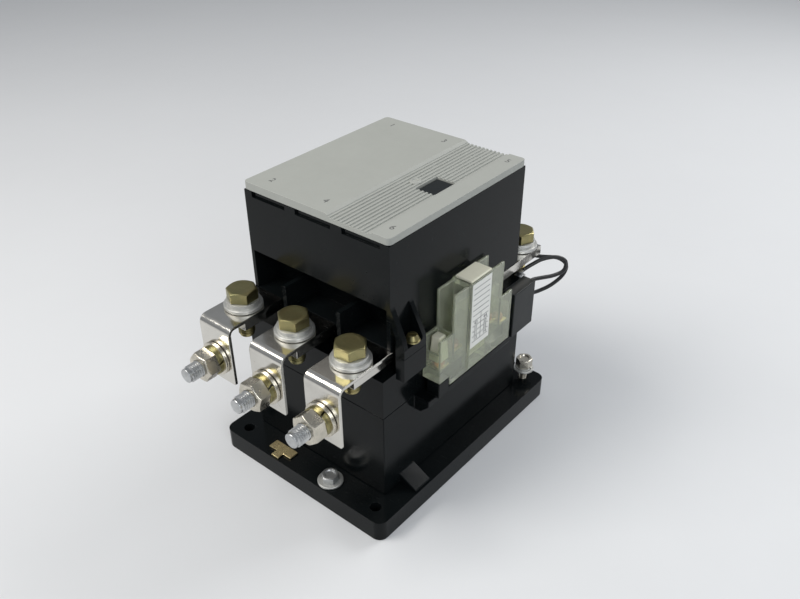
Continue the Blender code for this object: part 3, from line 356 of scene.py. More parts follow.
def tone_group():
    """Two tones mixed by a mask, then lightened by specks."""
    group, start, end = new_group("two_tone")
    socket(group, "Main", "NodeSocketColor", "INPUT", (0.5, 0.5, 0.5, 1.0))
    socket(group, "Other", "NodeSocketColor", "INPUT", (0.4, 0.4, 0.4, 1.0))
    socket(group, "Dust", "NodeSocketColor", "INPUT", (0.5, 0.5, 0.5, 1.0))
    socket(group, "Mask", "NodeSocketFloat", "INPUT", 0.0)
    socket(group, "Speck", "NodeSocketFloat", "INPUT", 0.0)
    socket(group, "Dust Amount", "NodeSocketFloat", "INPUT", 0.1)
    socket(group, "Colour", "NodeSocketColor", "OUTPUT")
    nodes = group.nodes
    links = group.links
    first = nodes.new("ShaderNodeMix")
    first.data_type = "RGBA"
    links.new(start.outputs["Mask"], first.inputs[0])
    links.new(start.outputs["Main"], first.inputs[6])
    links.new(start.outputs["Other"], first.inputs[7])
    amount = nodes.new("ShaderNodeMath")
    amount.operation = "MULTIPLY"
    links.new(start.outputs["Speck"], amount.inputs[0])
    links.new(start.outputs["Dust Amount"], amount.inputs[1])
    second = nodes.new("ShaderNodeMix")
    second.data_type = "RGBA"
    links.new(amount.outputs["Value"], second.inputs[0])
    links.new(first.outputs[2], second.inputs[6])
    links.new(start.outputs["Dust"], second.inputs[7])
    links.new(second.outputs[2], end.inputs["Colour"])
    return group


def grain_group():
    """Fine surface relief as a normal."""
    group, start, end = new_group("grain")
    socket(group, "Scale", "NodeSocketFloat", "INPUT", 900.0)
    socket(group, "Strength", "NodeSocketFloat", "INPUT", 0.1)
    socket(group, "Normal", "NodeSocketVector", "OUTPUT")
    nodes = group.nodes
    links = group.links
    place = nodes.new("ShaderNodeTexCoord")
    noise = nodes.new("ShaderNodeTexNoise")
    noise.inputs["Detail"].default_value = 3.0
    links.new(place.outputs["Object"], noise.inputs["Vector"])
    links.new(start.outputs["Scale"], noise.inputs["Scale"])
    bump = nodes.new("ShaderNodeBump")
    bump.inputs["Distance"].default_value = 0.0004
    links.new(start.outputs["Strength"], bump.inputs["Strength"])
    links.new(noise.outputs["Fac"], bump.inputs["Height"])
    links.new(bump.outputs["Normal"], end.inputs["Normal"])
    return group


GROUPS = {}
DUST = (0.45, 0.45, 0.43, 1.0)
SCRATCH_ROUGH = 0.12


def group_node(tree, name):
    """An instance of a shared group in a material."""
    node = tree.nodes.new("ShaderNodeGroup")
    node.node_tree = GROUPS[name]
    return node


def look(name, main, other, rough, metallic=0.0, dust=0.1, grain=(900.0, 0.1), scale=30.0, extra=None):
    """A material of two tones with handling marks and a fine grain."""
    material = bpy.data.materials.new(name)
    material.use_nodes = True
    tree = material.node_tree
    shader = tree.nodes["Principled BSDF"]
    shader.inputs["Metallic"].default_value = metallic
    for key, value in (extra or {}).items():
        shader.inputs[key].default_value = value
    marks = group_node(tree, "handling")
    marks.inputs["Scale"].default_value = scale
    tone = group_node(tree, "two_tone")
    tone.inputs["Main"].default_value = (*main, 1.0)
    tone.inputs["Other"].default_value = (*other, 1.0)
    tone.inputs["Dust"].default_value = DUST
    tone.inputs["Dust Amount"].default_value = dust
    tree.links.new(marks.outputs["Smudge"], tone.inputs["Mask"])
    tree.links.new(marks.outputs["Speck"], tone.inputs["Speck"])
    tree.links.new(tone.outputs["Colour"], shader.inputs["Base Color"])
    gloss = tree.nodes.new("ShaderNodeMapRange")
    gloss.inputs["To Min"].default_value = rough[0]
    gloss.inputs["To Max"].default_value = rough[1]
    tree.links.new(marks.outputs["Smudge"], gloss.inputs["Value"])
    worn = tree.nodes.new("ShaderNodeMath")
    worn.operation = "MULTIPLY_ADD"
    worn.inputs[1].default_value = SCRATCH_ROUGH
    tree.links.new(marks.outputs["Scratch"], worn.inputs[0])
    tree.links.new(gloss.outputs["Result"], worn.inputs[2])
    tree.links.new(worn.outputs["Value"], shader.inputs["Roughness"])
    relief = group_node(tree, "grain")
    relief.inputs["Scale"].default_value = grain[0]
    relief.inputs["Strength"].default_value = grain[1]
    tree.links.new(relief.outputs["Normal"], shader.inputs["Normal"])
    return material


def shade(value, factor):
    """A colour made darker or lighter."""
    return tuple(min(1.0, part * factor) for part in value)


LOOKS = {}


def make_looks():
    """Every material of the object."""
    tint = colours()
    GROUPS["handling"] = handling_group()
    GROUPS["two_tone"] = tone_group()
    GROUPS["grain"] = grain_group()
    # The black moulding and black satin tones keep the slight teal tint of the black: a painted reflection
    # of blue cloth over the real black.
    LOOKS["black"] = look("black_moulding", tint.black, shade(tint.black, 1.5), (0.14, 0.24), dust=0.016,
                          grain=(500.0, 0.04), scale=22.0, extra={"Specular IOR Level": 0.12})
    LOOKS["satin"] = look("black_satin", shade(tint.black, 1.5), shade(tint.black, 2.6), (0.34, 0.46),
                          dust=0.05, grain=(800.0, 0.12), extra={"Specular IOR Level": 0.3})
    LOOKS["grey"] = look("grey_lid", tint.grey, shade(tint.grey, 0.93), (0.46, 0.58), dust=0.05,
                         grain=(1500.0, 0.16))
    LOOKS["gold"] = look("yellow_zinc", tint.gold, tint.gold_worn, (0.30, 0.46), metallic=1.0, dust=0.06,
                         grain=(700.0, 0.10), scale=120.0)
    LOOKS["zinc"] = look("grey_zinc", tint.zinc, shade(tint.zinc, 0.72), (0.30, 0.48), metallic=1.0,
                         dust=0.10, grain=(900.0, 0.16), scale=140.0)
    LOOKS["washer"] = look("matte_zinc", tint.washer, tint.washer_worn, (0.42, 0.58), metallic=0.85,
                           dust=0.08, grain=(1100.0, 0.2), scale=150.0)
    LOOKS["nickel"] = look("nickel_plate", tint.nickel, shade(tint.nickel, 0.86), (0.10, 0.24), metallic=1.0,
                           dust=0.03, grain=(300.0, 0.04), scale=60.0)
    LOOKS["nut"] = look("warm_nickel", tint.nut, tint.nut_worn, (0.22, 0.36), metallic=1.0, dust=0.08,
                        grain=(800.0, 0.12), scale=130.0)
    LOOKS["brass"] = look("bare_brass", tint.brass, shade(tint.brass, 0.75), (0.22, 0.38), metallic=1.0,
                          dust=0.05, grain=(700.0, 0.08), scale=90.0)
    LOOKS["copper"] = look("copper", tint.copper, shade(tint.copper, 0.7), (0.25, 0.42), metallic=1.0,
                           dust=0.05, grain=(700.0, 0.1), scale=90.0)
    LOOKS["steel"] = look("dark_steel", tint.steel, shade(tint.steel, 0.7), (0.35, 0.55), metallic=1.0,
                          dust=0.08, grain=(600.0, 0.2), scale=70.0)
    LOOKS["winding"] = look("taped_winding", tint.winding, tint.winding_worn, (0.4, 0.6), dust=0.05)
    LOOKS["aged"] = look("aged_clear", tint.aged, shade(tint.aged, 0.9), (0.03, 0.10), dust=0.55,
                         grain=(220.0, 0.35), scale=90.0, extra={"Transmission Weight": 0.82, "IOR": 1.46})
    LOOKS["ivory"] = look("ivory_plastic", tint.ivory, shade(tint.ivory, 0.88), (0.35, 0.5), dust=0.06)
    LOOKS["paper"] = look("plain_paper", tint.paper, shade(tint.paper, 0.9), (0.5, 0.62), dust=0.04)
    LOOKS["ink"] = look("printed_ink", tint.ink, shade(tint.ink, 2.2), (0.5, 0.6), dust=0.02)
    LOOKS["lead"] = look("lead_sleeve", tint.lead, tint.lead_worn, (0.32, 0.46), dust=0.06)
    LOOKS["floor"] = look("pale_floor", tint.floor, shade(tint.floor, 0.97), (0.6, 0.7), dust=0.0,
                          grain=(200.0, 0.02), scale=4.0)


# Fasteners

HEX_TOP = 0.455
HEX_SLOPE = 1.75
HEX_EDGE = 0.22 * MM
DISH_RADIUS = 0.39
DISH_FLOOR = 0.72
CREST_START = 0.42
CREST_END = 0.54
TOOTH_END = 0.96
TOOTH_LIFT = 0.4
THREAD_ENDS = 1.4
THREAD_STEPS = 36
THREAD_ANGLE = math.radians(32)
RIM_SHARE = 0.10
CROWN_SHARE = 0.12
WASHER_EDGE = 0.3 * MM
SLIT_LEAN = math.radians(20)
WASHER_THICK = 2.2 * MM
SPRING_THICK = 3.1 * MM
SPRING_SLIT = 1.1 * MM
BOLT_FLATS = 16.5 * MM
BOLT_DIA = 10.0 * MM
BOLT_HEAD = 6.8 * MM
BOLT_REACH = 20.3 * MM
BOLT_WASHER_DIA = 23.0 * MM
BOLT_SPRING_DIA = 19.6 * MM
BOLT_TURN = 17
BOLT_TURN_STEP = 47
STUD_HEAD = 2.5 * MM
STUD_HEAD_RADIUS = 7.2 * MM
STUD_EDGE = 0.4 * MM
NUT_HEIGHT = 8.4 * MM
NUT_BORE = 0.5 * BOLT_DIA + 0.25 * MM
NUT_WASHER_DIA = 21.0 * MM
NUT_SPRING_DIA = 17.8 * MM
NUT_WASHER_BORE = 0.5 * BOLT_DIA + 0.2 * MM
NUT_TURN_STEP = 23
SCREW_FLATS = 10.0 * MM
SCREW_DIA = 5.4 * MM
SCREW_DISH = 0.9 * MM
SCREW_PITCH = 1.0 * MM
SCREW_THREAD = 0.5 * MM
SCREW_SLIT = 1.0 * MM
SPRING_NARROWER = 0.16
BASE_SCREW_HEAD = 4.5 * MM
BASE_SCREW_WASHER = 1.6 * MM
MOUNT_SCREW_HEAD = 6.5 * MM
MOUNT_SCREW_WASHERS = 3.0 * MM
PAN_HEIGHT = 4.2 * MM
PAN_SEAT = 2.0 * MM
PAN_RADIUS = 0.43
PAN_CROWN = 0.72
PAN_EDGE = 0.25 * MM
PAN_TURN = math.radians(35)
PAN_ROD_DIA = 3.8 * MM
PAN_PITCH = 0.7 * MM
PAN_THREAD = 0.35 * MM
PAN_WASHER_THICK = 0.9 * MM
PAN_WASHERS = ((0.0, 1.0), (1.0 * MM, 0.86))
SLOT_WIDTH = 0.9 * MM
SLOT_DEPTH = 0.9 * MM


def hex_body(flats, height, dish):
    """A chamfered hex standing on the origin, with a dished top if asked."""
    item = new_disc((0, 0, 0), flats / math.sqrt(3), height, 6)
    clear_selection()
    top = HEX_TOP * flats
    bpy.ops.mesh.primitive_cone_add(vertices=64, radius1=top + HEX_SLOPE * height, radius2=top, depth=height,
                                    location=(0, 0, 0.5 * height))
    carve(item, bake(bpy.context.active_object), "INTERSECT")
    if dish > 0:
        bowl = new_disc((0, 0, height - dish), DISH_RADIUS * flats, 2 * dish, 40)
        select_faces(bowl, lambda face: face.normal.z < -UPWARD)
        bpy.ops.transform.resize(value=(DISH_FLOOR, DISH_FLOOR, 1.0))
        leave_edit()
        carve(item, bowl)
    soften(item, HEX_EDGE, angle=30)
    return item


def threaded_rod(diameter, span, pitch, depth):
    """A rod from the origin up with chamfered ends and a real helical thread."""
    crest = 0.5 * diameter
    root = crest - depth
    core = new_disc((0, 0, 0), root + 0.1 * depth, span, 40)
    soften(core, 0.5 * depth, angle=60)
    select_top(core)
    bpy.ops.mesh.inset(thickness=0.35 * root)
    bpy.ops.transform.translate(value=(0, 0, -0.5 * depth))
    leave_edit()
    clear_selection()
    bpy.ops.mesh.primitive_circle_add(vertices=4, radius=depth)
    tooth = bake(bpy.context.active_object)
    corners = ((root, 0.0), (crest, CREST_START), (crest, CREST_END), (root, TOOTH_END))
    for vertex, (reach, rise) in zip(tooth.data.vertices, corners):
        vertex.co = (reach, 0.0, (rise + TOOTH_LIFT) * pitch)
    turns = max(1, int((span - THREAD_ENDS * pitch) / pitch))
    apply_modifier(tooth, "SCREW", screw_offset=pitch, iterations=turns, steps=THREAD_STEPS,
                   render_steps=THREAD_STEPS, axis="Z", use_normal_calculate=True, use_merge_vertices=False)
    pick(tooth)
    bpy.ops.object.shade_smooth_by_angle(angle=THREAD_ANGLE)
    return merge(core, tooth)


def plain_washer(z, diameter, thick, slit):
    """A rounded washer on the axis, split if asked."""
    item = new_disc((0, 0, z), 0.5 * diameter, thick, 56)
    select_top(item)
    bpy.ops.mesh.inset(thickness=RIM_SHARE * diameter)
    bpy.ops.transform.translate(value=(0, 0, CROWN_SHARE * thick))
    leave_edit()
    if slit > 0:
        saw = new_box((0.25 * diameter, -0.5 * slit, z - thick), (diameter, 0.5 * slit, z + 3 * thick))
        saw.data.transform(Matrix.Rotation(SLIT_LEAN, 4, "X"))
        carve(item, saw)
    soften(item, WASHER_EDGE, angle=40)
    return item


def bolt_set():
    """Bolt, plain washer and spring washer with the seat at the origin."""
    size = sizes()
    low = WASHER_THICK + SPRING_THICK
    head = hex_body(BOLT_FLATS, BOLT_HEAD, size.dish_depth)
    head.data.transform(Matrix.Translation((0, 0, low)))
    rod = threaded_rod(BOLT_DIA, BOLT_REACH + 0.4 * low, size.thread_pitch, size.thread_depth)
    rod.data.transform(Matrix.Translation((0, 0, -BOLT_REACH)))
    bolt = merge(head, rod)
    flat = plain_washer(0.0, BOLT_WASHER_DIA, WASHER_THICK, 0.0)
    split = plain_washer(WASHER_THICK, BOLT_SPRING_DIA, 0.9 * SPRING_THICK, SPRING_SLIT)
    return bolt, flat, split


def hex_screw(node, plating, head_high, washers_high, washer_count):
    """A dished hex screw on its washers, standing for a CAD screw."""
    low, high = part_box(node)
    x = 0.5 * (low[0] + high[0])
    y = 0.5 * (low[1] + high[1])
    seat = high[2] - head_high - washers_high
    screw = hex_body(SCREW_FLATS, head_high, SCREW_DISH)
    screw.data.transform(Matrix.Translation((x, y, high[2] - head_high)))
    rod = threaded_rod(SCREW_DIA, high[2] - head_high - low[2] + MM, SCREW_PITCH, SCREW_THREAD)
    rod.data.transform(Matrix.Translation((x, y, low[2])))
    finish_piece(merge(screw, rod), node + "_thread", plating, "frame", (node,))
    each = washers_high / washer_count
    for number in range(washer_count):
        slit = SCREW_SLIT if number else 0.0
        wide = (high[0] - low[0]) * (1.0 - SPRING_NARROWER * number)
        washer = plain_washer(0.0, wide, 0.9 * each, slit)
        washer.data.transform(Matrix.Translation((x, y, seat + number * each)))
        name = "%s_washer_%d" % (node, number + 1)
        finish_piece(washer, name, LOOKS["washer"], "frame")


def pan_screw(node):
    """A slotted pan-head screw on two washers, standing for a CAD screw."""
    low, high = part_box(node)
    wide = high[0] - low[0]
    place = Matrix.Translation((0.5 * (low[0] + high[0]), 0.5 * (low[1] + high[1]), high[2] - PAN_HEIGHT))
    head = new_disc((0, 0, PAN_SEAT), PAN_RADIUS * wide, PAN_HEIGHT - PAN_SEAT, 40)
    select_top(head)
    bpy.ops.transform.resize(value=(PAN_CROWN, PAN_CROWN, 1.0))
    leave_edit()
    carve(head, new_box((-wide, -0.5 * SLOT_WIDTH, PAN_HEIGHT - SLOT_DEPTH),
                        (wide, 0.5 * SLOT_WIDTH, PAN_HEIGHT + MM)))
    soften(head, PAN_EDGE, segments=3, angle=25)
    rod_length = high[2] - low[2] - PAN_HEIGHT + PAN_SEAT + 0.2 * MM
    rod = threaded_rod(PAN_ROD_DIA, rod_length, PAN_PITCH, PAN_THREAD)
    rod.data.transform(Matrix.Translation((0, 0, low[2] - high[2] + PAN_HEIGHT)))
    screw = merge(head, rod)
    screw.data.transform(place @ Matrix.Rotation(PAN_TURN, 4, "Z"))
    finish_piece(screw, node + "_thread", LOOKS["gold"], "frame", (node,))
    for number, (z, share) in enumerate(PAN_WASHERS, 1):
        washer = plain_washer(z, share * wide, PAN_WASHER_THICK, 0.0)
        washer.data.transform(place)
        finish_piece(washer, "%s_washer_%d" % (node, number), LOOKS["gold"], "frame")


def drop(*items):
    """Remove masters that were only copied."""
    for item in items:
        bpy.data.objects.remove(item, do_unlink=True)


# Operators

class CONTACTOR_OT_mouldings(bpy.types.Operator):
    """Dress the black mouldings: base, lower housing, contact frame and arc chamber"""
    bl_idname = "contactor.mouldings"
    bl_label = "Black mouldings"

    def execute(self, context):
        edge = sizes().mould_edge
        dress("base_plate", LOOKS["black"], 1.6 * edge)
        dress("lower_housing", LOOKS["black"], edge)
        dress("contact_frame", LOOKS["black"], edge)
        dress("arc_chamber", LOOKS["black"], edge)
        return {"FINISHED"}


PRINT_THICK = 0.03 * MM


def print_digits(text, place, height, turn, name):
    """Plain printed digits lying on a flat surface."""
    clear_selection()
    bpy.ops.object.text_add(location=place, rotation=turn)
    item = bpy.context.active_object
    item.data.body = text
    item.data.size = height
    item.data.extrude = PRINT_THICK
    item.data.align_x = "CENTER"
    item.data.align_y = "CENTER"
    bpy.ops.object.convert(target="MESH")
    item = bake(bpy.context.active_object)
    return finish_piece(item, name, LOOKS["ink"], "frame")


STRIP_DROP = 1.4 * MM
MARGIN_DROP = 0.6 * MM
NUMBER_COLUMNS = (-40.5 * MM, 0.5 * MM, 46.5 * MM)
NUMBER_NEAR = 10.5 * MM
NUMBER_FAR = 9.5 * MM
DIAL_X = 20.5 * MM
DIAL_Y = -0.5 * MM
DIAL_RADIUS = 3.6 * MM
DIAL_HEIGHT = 1.1 * MM
DIAL_RIM = 0.22 * DIAL_RADIUS
DIAL_TOP = 0.2 * DIAL_RADIUS
DIAL_WALL = 0.1 * DIAL_RADIUS
DIAL_RISE = 0.5 * MM
DIAL_SINK = 0.6 * MM
DIAL_EDGE = 0.12 * MM


class CONTACTOR_OT_cover(bpy.types.Operator):
    """Dress the lid, print the plain terminal numbers and set the ring on the strip"""
    bl_idname = "contactor.cover"
    bl_label = "Lid and numbers"

    def execute(self, context):
        size = sizes()
        dress("top_cover", LOOKS["grey"], 0.45 * size.cover_edge, segments=3, angle=50)
        low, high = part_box("top_cover")
        top = high[2] - 0.3 * PRINT_THICK
        levels = (top, top, top - MARGIN_DROP)
        for first, y in ((2, low[1] + NUMBER_NEAR), (1, high[1] - NUMBER_FAR)):
            for step, (x, z) in enumerate(zip(NUMBER_COLUMNS, levels)):
                number = str(first + 2 * step)
                name = "terminal_number_" + number
                print_digits(number, (x, y, z), size.digit_height, (0, 0, 0), name)
        self.set_ring(top - STRIP_DROP)
        return {"FINISHED"}

    def set_ring(self, ridge):
        """A raised ring with a sunk middle on the grooved strip."""
        ring = new_disc((DIAL_X, DIAL_Y, ridge - MM), DIAL_RADIUS, DIAL_HEIGHT, 48)
        select_top(ring)
        bpy.ops.mesh.inset(thickness=DIAL_RIM)
        bpy.ops.transform.translate(value=(0, 0, DIAL_RISE))
        bpy.ops.mesh.inset(thickness=DIAL_TOP)
        bpy.ops.mesh.inset(thickness=DIAL_WALL)
        bpy.ops.transform.translate(value=(0, 0, -DIAL_SINK))
        leave_edit()
        soften(ring, DIAL_EDGE, angle=25)
        finish_piece(ring, "setting_ring", LOOKS["grey"], "frame")


class CONTACTOR_OT_magnet(bpy.types.Operator):
    """Dress the magnet, coil, springs and moving carrier"""
    bl_idname = "contactor.magnet"
    bl_label = "Magnet and carrier"

    def execute(self, context):
        edge = sizes().sheet_edge
        dress("fixed_core", LOOKS["steel"], edge)
        dress("armature", LOOKS["steel"], edge, "carrier")
        dress("coil_bobbin", LOOKS["satin"], edge)
        dress("coil_winding", LOOKS["winding"], edge)
        dress("contact_carrier", LOOKS["satin"], 0.5 * edge, "carrier")
        for side in ("left", "right"):
            dress("shading_ring_" + side, LOOKS["copper"], 0.5 * edge)
        for side in ("near", "far"):
            node = "return_spring_" + side
            coil_spring(node, "frame")
        return {"FINISHED"}


class CONTACTOR_OT_poles(bpy.types.Operator):
    """Dress bridges, terminal bars, arc chutes and contact springs"""
    bl_idname = "contactor.poles"
    bl_label = "Poles"

    def execute(self, context):
        edge = sizes().sheet_edge
        for number in POLES:
            dress("contact_bridge_%d" % number, LOOKS["copper"], edge, "bridge_%d" % number)
            dress("load_bar_%d" % number, LOOKS["nickel"], edge)
            dress("line_bar_%d" % number, LOOKS["nickel"], edge)
            dress("arc_chute_%d" % number, LOOKS["steel"], 0.5 * edge)
            node = "contact_spring_%d" % number
            coil_spring(node, "carrier")
        return {"FINISHED"}


class CONTACTOR_OT_bolts(bpy.types.Operator):
    """Model the terminal bolts with threads and washers"""
    bl_idname = "contactor.bolts"
    bl_label = "Terminal bolts"

    def execute(self, context):
        bolt, flat, split = bolt_set()
        for side in ("load", "line"):
            for number in POLES:
                node = "%s_bolt_%d" % (side, number)
                low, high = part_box(node)
                seat = low[2] + BOLT_REACH
                place = Matrix.Translation((0.5 * (low[0] + high[0]), 0.5 * (low[1] + high[1]), seat))
                turn = place @ Matrix.Rotation(math.radians(BOLT_TURN + BOLT_TURN_STEP * number), 4, "Z")
                place_copy(bolt, node + "_thread", turn, LOOKS["gold"], (node,))
                place_copy(flat, node + "_washer", turn, LOOKS["washer"])
                place_copy(split, node + "_split", turn, LOOKS["washer"])
        drop(bolt, flat, split)
        return {"FINISHED"}


class CONTACTOR_OT_links(bpy.types.Operator):
    """Model the right-angle links, their studs and nuts"""
    bl_idname = "contactor.links"
    bl_label = "Load links"

    def execute(self, context):
        masters = self.make_masters()
        stud, nut, flat, split = masters
        lie = Matrix.Rotation(math.radians(90), 4, "X")
        for number in POLES:
            dress("load_link_%d" % number, LOOKS["nickel"], sizes().sheet_edge, segments=3)
            stud_node = "link_stud_%d" % number
            nut_node = "link_nut_%d" % number
            low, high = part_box(nut_node)
            x = 0.5 * (low[0] + high[0])
            z = 0.5 * (low[2] + high[2])
            turn = lie @ Matrix.Rotation(math.radians(NUT_TURN_STEP * number), 4, "Z")
            face = Matrix.Translation((x, high[1], z)) @ turn
            behind = Matrix.Translation((x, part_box(stud_node)[1][1] - STUD_HEAD, z)) @ turn
            place_copy(stud, stud_node + "_thread", behind, LOOKS["zinc"], (stud_node,))
            place_copy(nut, nut_node + "_hex", face, LOOKS["nut"], (nut_node,))
            place_copy(flat, nut_node + "_washer", face, LOOKS["nut"])
            place_copy(split, nut_node + "_split", face, LOOKS["gold"])
        drop(*masters)
        return {"FINISHED"}

    def make_masters(self):
        """One stud, nut, plain washer and spring washer to copy."""
        size = sizes()
        low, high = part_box("link_stud_1")
        rod_length = high[1] - low[1] - STUD_HEAD
        rod = threaded_rod(BOLT_DIA, rod_length, size.thread_pitch, size.thread_depth)
        head = new_disc((0, 0, -STUD_HEAD), STUD_HEAD_RADIUS, STUD_HEAD, 48)
        soften(head, STUD_EDGE)
        stud = merge(rod, head)
        nut = hex_body(BOLT_FLATS, NUT_HEIGHT, 0.0)
        carve(nut, new_disc((0, 0, -MM), NUT_BORE, NUT_HEIGHT + 2 * MM, 40))
        nut.data.transform(Matrix.Translation((0, 0, WASHER_THICK + SPRING_THICK)))
        flat = plain_washer(0.0, NUT_WASHER_DIA, WASHER_THICK, 0.0)
        split = plain_washer(WASHER_THICK, NUT_SPRING_DIA, 0.95 * SPRING_THICK, SPRING_SLIT)
        for piece in (flat, split):
            carve(piece, new_disc((0, 0, -MM), NUT_WASHER_BORE, 9 * MM, 40))
        return stud, nut, flat, split


LABEL_NEAR = -8.0 * MM
LABEL_FAR = 10.6 * MM
LABEL_LOW = 94.0 * MM
LABEL_HIGH = 137.6 * MM
LABEL_THICK = 0.12 * MM
LABEL_MARGIN = 1.5 * MM
LABEL_ROWS = 12
LABEL_RULE = 0.36 * MM
LABEL_NUMBERS = (("13", "14"), ("21", "22"), ("31", "32"), ("43", "44"))
DIVIDED_ROWS = 6
CLAMP_X = 60.0 * MM
CLAMP_LOW = 93.2 * MM
CLAMP_HIGH = 99.0 * MM
CLAMP_SPOTS = ((-28.5 * MM, CLAMP_LOW), (-15.8 * MM, CLAMP_HIGH),
               (18.3 * MM, CLAMP_HIGH), (30.2 * MM, CLAMP_LOW))
CLAMP_CORNER = Vector((3.9 * MM, 4.1 * MM, -0.1 * MM))
CLAMP_THICK = 1.3 * MM
CLAMP_EDGE = 0.4 * MM
CLAMP_SCREW_RADIUS = 3.1 * MM
CLAMP_SCREW_HEIGHT = 2.6 * MM
CLAMP_SCREW_EDGE = 0.35 * MM
CLAMP_SLOT_FLOOR = 1.5 * MM
SUPPORT_LOW = (56.2 * MM, -32.5 * MM, CLAMP_LOW + 3.2 * MM)
SUPPORT_HIGH = (63.8 * MM, -24.6 * MM, 112.5 * MM)
SUPPORT_TAPER = (0.8, 0.75, 1.0)
SUPPORT_EDGE = 0.9 * MM


class CONTACTOR_OT_auxiliary(bpy.types.Operator):
    """Model the auxiliary block with its label, terminals, cap and slider"""
    bl_idname = "contactor.auxiliary"
    bl_label = "Auxiliary block"

    def execute(self, context):
        edge = sizes().sheet_edge
        dress("aux_housing", LOOKS["aged"], edge, segments=3)
        dress("aux_slider", LOOKS["ivory"], edge, "slider")
        dress("aux_cap", LOOKS["ivory"], edge)
        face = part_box("aux_housing")[1][0]
        label = new_box((face - PRINT_THICK, LABEL_NEAR, LABEL_LOW),
                        (face + LABEL_THICK, LABEL_FAR, LABEL_HIGH))
        soften(label, PRINT_THICK)
        finish_piece(label, "aux_label", LOOKS["paper"], "frame")
        self.print_label(face + LABEL_THICK)
        self.fit_terminals()
        return {"FINISHED"}

    def print_label(self, face):
        """Ruled lines and plain contact numbers on the label."""
        middle = 0.5 * (LABEL_NEAR + LABEL_FAR)
        step = (LABEL_HIGH - LABEL_LOW) / LABEL_ROWS
        strips = []
        for row in range(1, LABEL_ROWS):
            z = LABEL_LOW + row * step
            strips.append(new_box((face - PRINT_THICK, LABEL_NEAR + LABEL_MARGIN, z),
                                  (face + PRINT_THICK, LABEL_FAR - LABEL_MARGIN, z + LABEL_RULE)))
        strips.append(new_box((face - PRINT_THICK, middle, LABEL_LOW + step),
                              (face + PRINT_THICK, middle + LABEL_RULE, LABEL_LOW + DIVIDED_ROWS * step)))
        rules = merge(*strips)
        soften(rules, 0.3 * PRINT_THICK, segments=1)
        finish_piece(rules, "aux_label_rules", LOOKS["ink"], "frame")
        upright = (math.radians(90), 0, math.radians(90))
        for row, pair in enumerate(LABEL_NUMBERS):
            z = LABEL_LOW + (row + 1.55) * step
            for side, text in zip((-1, 1), pair):
                place = (face + PRINT_THICK, middle + side * 0.25 * (LABEL_FAR - LABEL_NEAR), z)
                print_digits(text, place, 0.95 * step, upright, "aux_number_" + text)

    def fit_terminals(self):
        """Clamp screws and one ivory support in the open pockets."""
        head = new_disc((0, 0, 0), CLAMP_SCREW_RADIUS, CLAMP_SCREW_HEIGHT, 40)
        carve(head, new_box((-4 * MM, -0.5 * SLOT_WIDTH, CLAMP_SLOT_FLOOR),
                            (4 * MM, 0.5 * SLOT_WIDTH, 4 * MM)))
        soften(head, CLAMP_SCREW_EDGE, segments=3)
        across, along, top = CLAMP_CORNER
        clamp = new_box((-across, -along, top - CLAMP_THICK), CLAMP_CORNER)
        soften(clamp, CLAMP_EDGE, segments=3)
        for number, (y, z) in enumerate(CLAMP_SPOTS, 1):
            place = Matrix.Translation((CLAMP_X, y, z))
            place_copy(head, "aux_screw_%d" % number, place, LOOKS["copper"])
            place_copy(clamp, "aux_clamp_%d" % number, place, LOOKS["brass"])
        drop(head, clamp)
        support = new_box(SUPPORT_LOW, SUPPORT_HIGH)
        select_top(support)
        bpy.ops.transform.resize(value=SUPPORT_TAPER)
        leave_edit()
        soften(support, SUPPORT_EDGE, segments=3)
        finish_piece(support, "aux_support", LOOKS["ivory"], "frame")


def smooth_route(route, pieces):
    """Smooth curve through chosen route points."""
    points = [Vector(p) for p in route]
    points = [2 * points[0] - points[1]] + points + [2 * points[-1] - points[-2]]
    smooth = []
    for i in range(1, len(points) - 2):
        a, b, c, d = points[i - 1:i + 3]
        for k in range(pieces):
            t = k / pieces
            smooth.append(0.5 * (2 * b + (c - a) * t + (2 * a - 5 * b + 4 * c - d) * t * t
                                 + (3 * b - a - 3 * c + d) * t ** 3))
    smooth.append(points[-2])
    return smooth


ROUTE_PIECES = 4
UPPER_ROUTE = ((0.0585, 0.0706, 0.0985), (0.0585, 0.0746, 0.0985), (0.0615, 0.0810, 0.0980),
               (0.0655, 0.0890, 0.0975), (0.0680, 0.0970, 0.0985), (0.0665, 0.1010, 0.1030),
               (0.0615, 0.0970, 0.1062), (0.0560, 0.0890, 0.1062), (0.0520, 0.0830, 0.1035),
               (0.0495, 0.0788, 0.1013), (0.0495, 0.0758, 0.1013))
LOWER_ROUTE = ((0.0585, 0.0706, 0.0880), (0.0585, 0.0746, 0.0880), (0.0607, 0.0805, 0.0880),
               (0.0645, 0.0890, 0.0900), (0.0670, 0.0985, 0.0940), (0.0655, 0.1045, 0.0985),
               (0.0590, 0.1040, 0.1015), (0.0500, 0.0980, 0.1020), (0.0410, 0.0935, 0.1020),
               (0.0345, 0.0870, 0.1015), (0.0335, 0.0798, 0.1013), (0.0335, 0.0758, 0.1013))


class CONTACTOR_OT_suppressor(bpy.types.Operator):
    """Model the suppressor and its two leads"""
    bl_idname = "contactor.suppressor"
    bl_label = "Suppressor and leads"

    def execute(self, context):
        size = sizes()
        dress("suppressor", LOOKS["satin"], size.mould_edge, segments=3)
        for number, route in ((1, UPPER_ROUTE), (2, LOWER_ROUTE)):
            name = "suppressor_lead_%d" % number
            points = smooth_route(route, ROUTE_PIECES)
            curve = bpy.data.curves.new(name + "_sleeve", "CURVE")
            curve.dimensions = "3D"
            curve.bevel_depth = 0.5 * size.lead_diameter
            curve.bevel_resolution = 4
            curve.use_fill_caps = True
            spline = curve.splines.new("POLY")
            spline.points.add(len(points) - 1)
            for target, point in zip(spline.points, points):
                target.co = (*point, 1.0)
            spline.use_smooth = True
            item = bpy.data.objects.new(name + "_sleeve", curve)
            bpy.context.scene.collection.objects.link(item)
            curve.materials.append(LOOKS["lead"])
            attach(item, "frame")
            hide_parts(name)
        return {"FINISHED"}


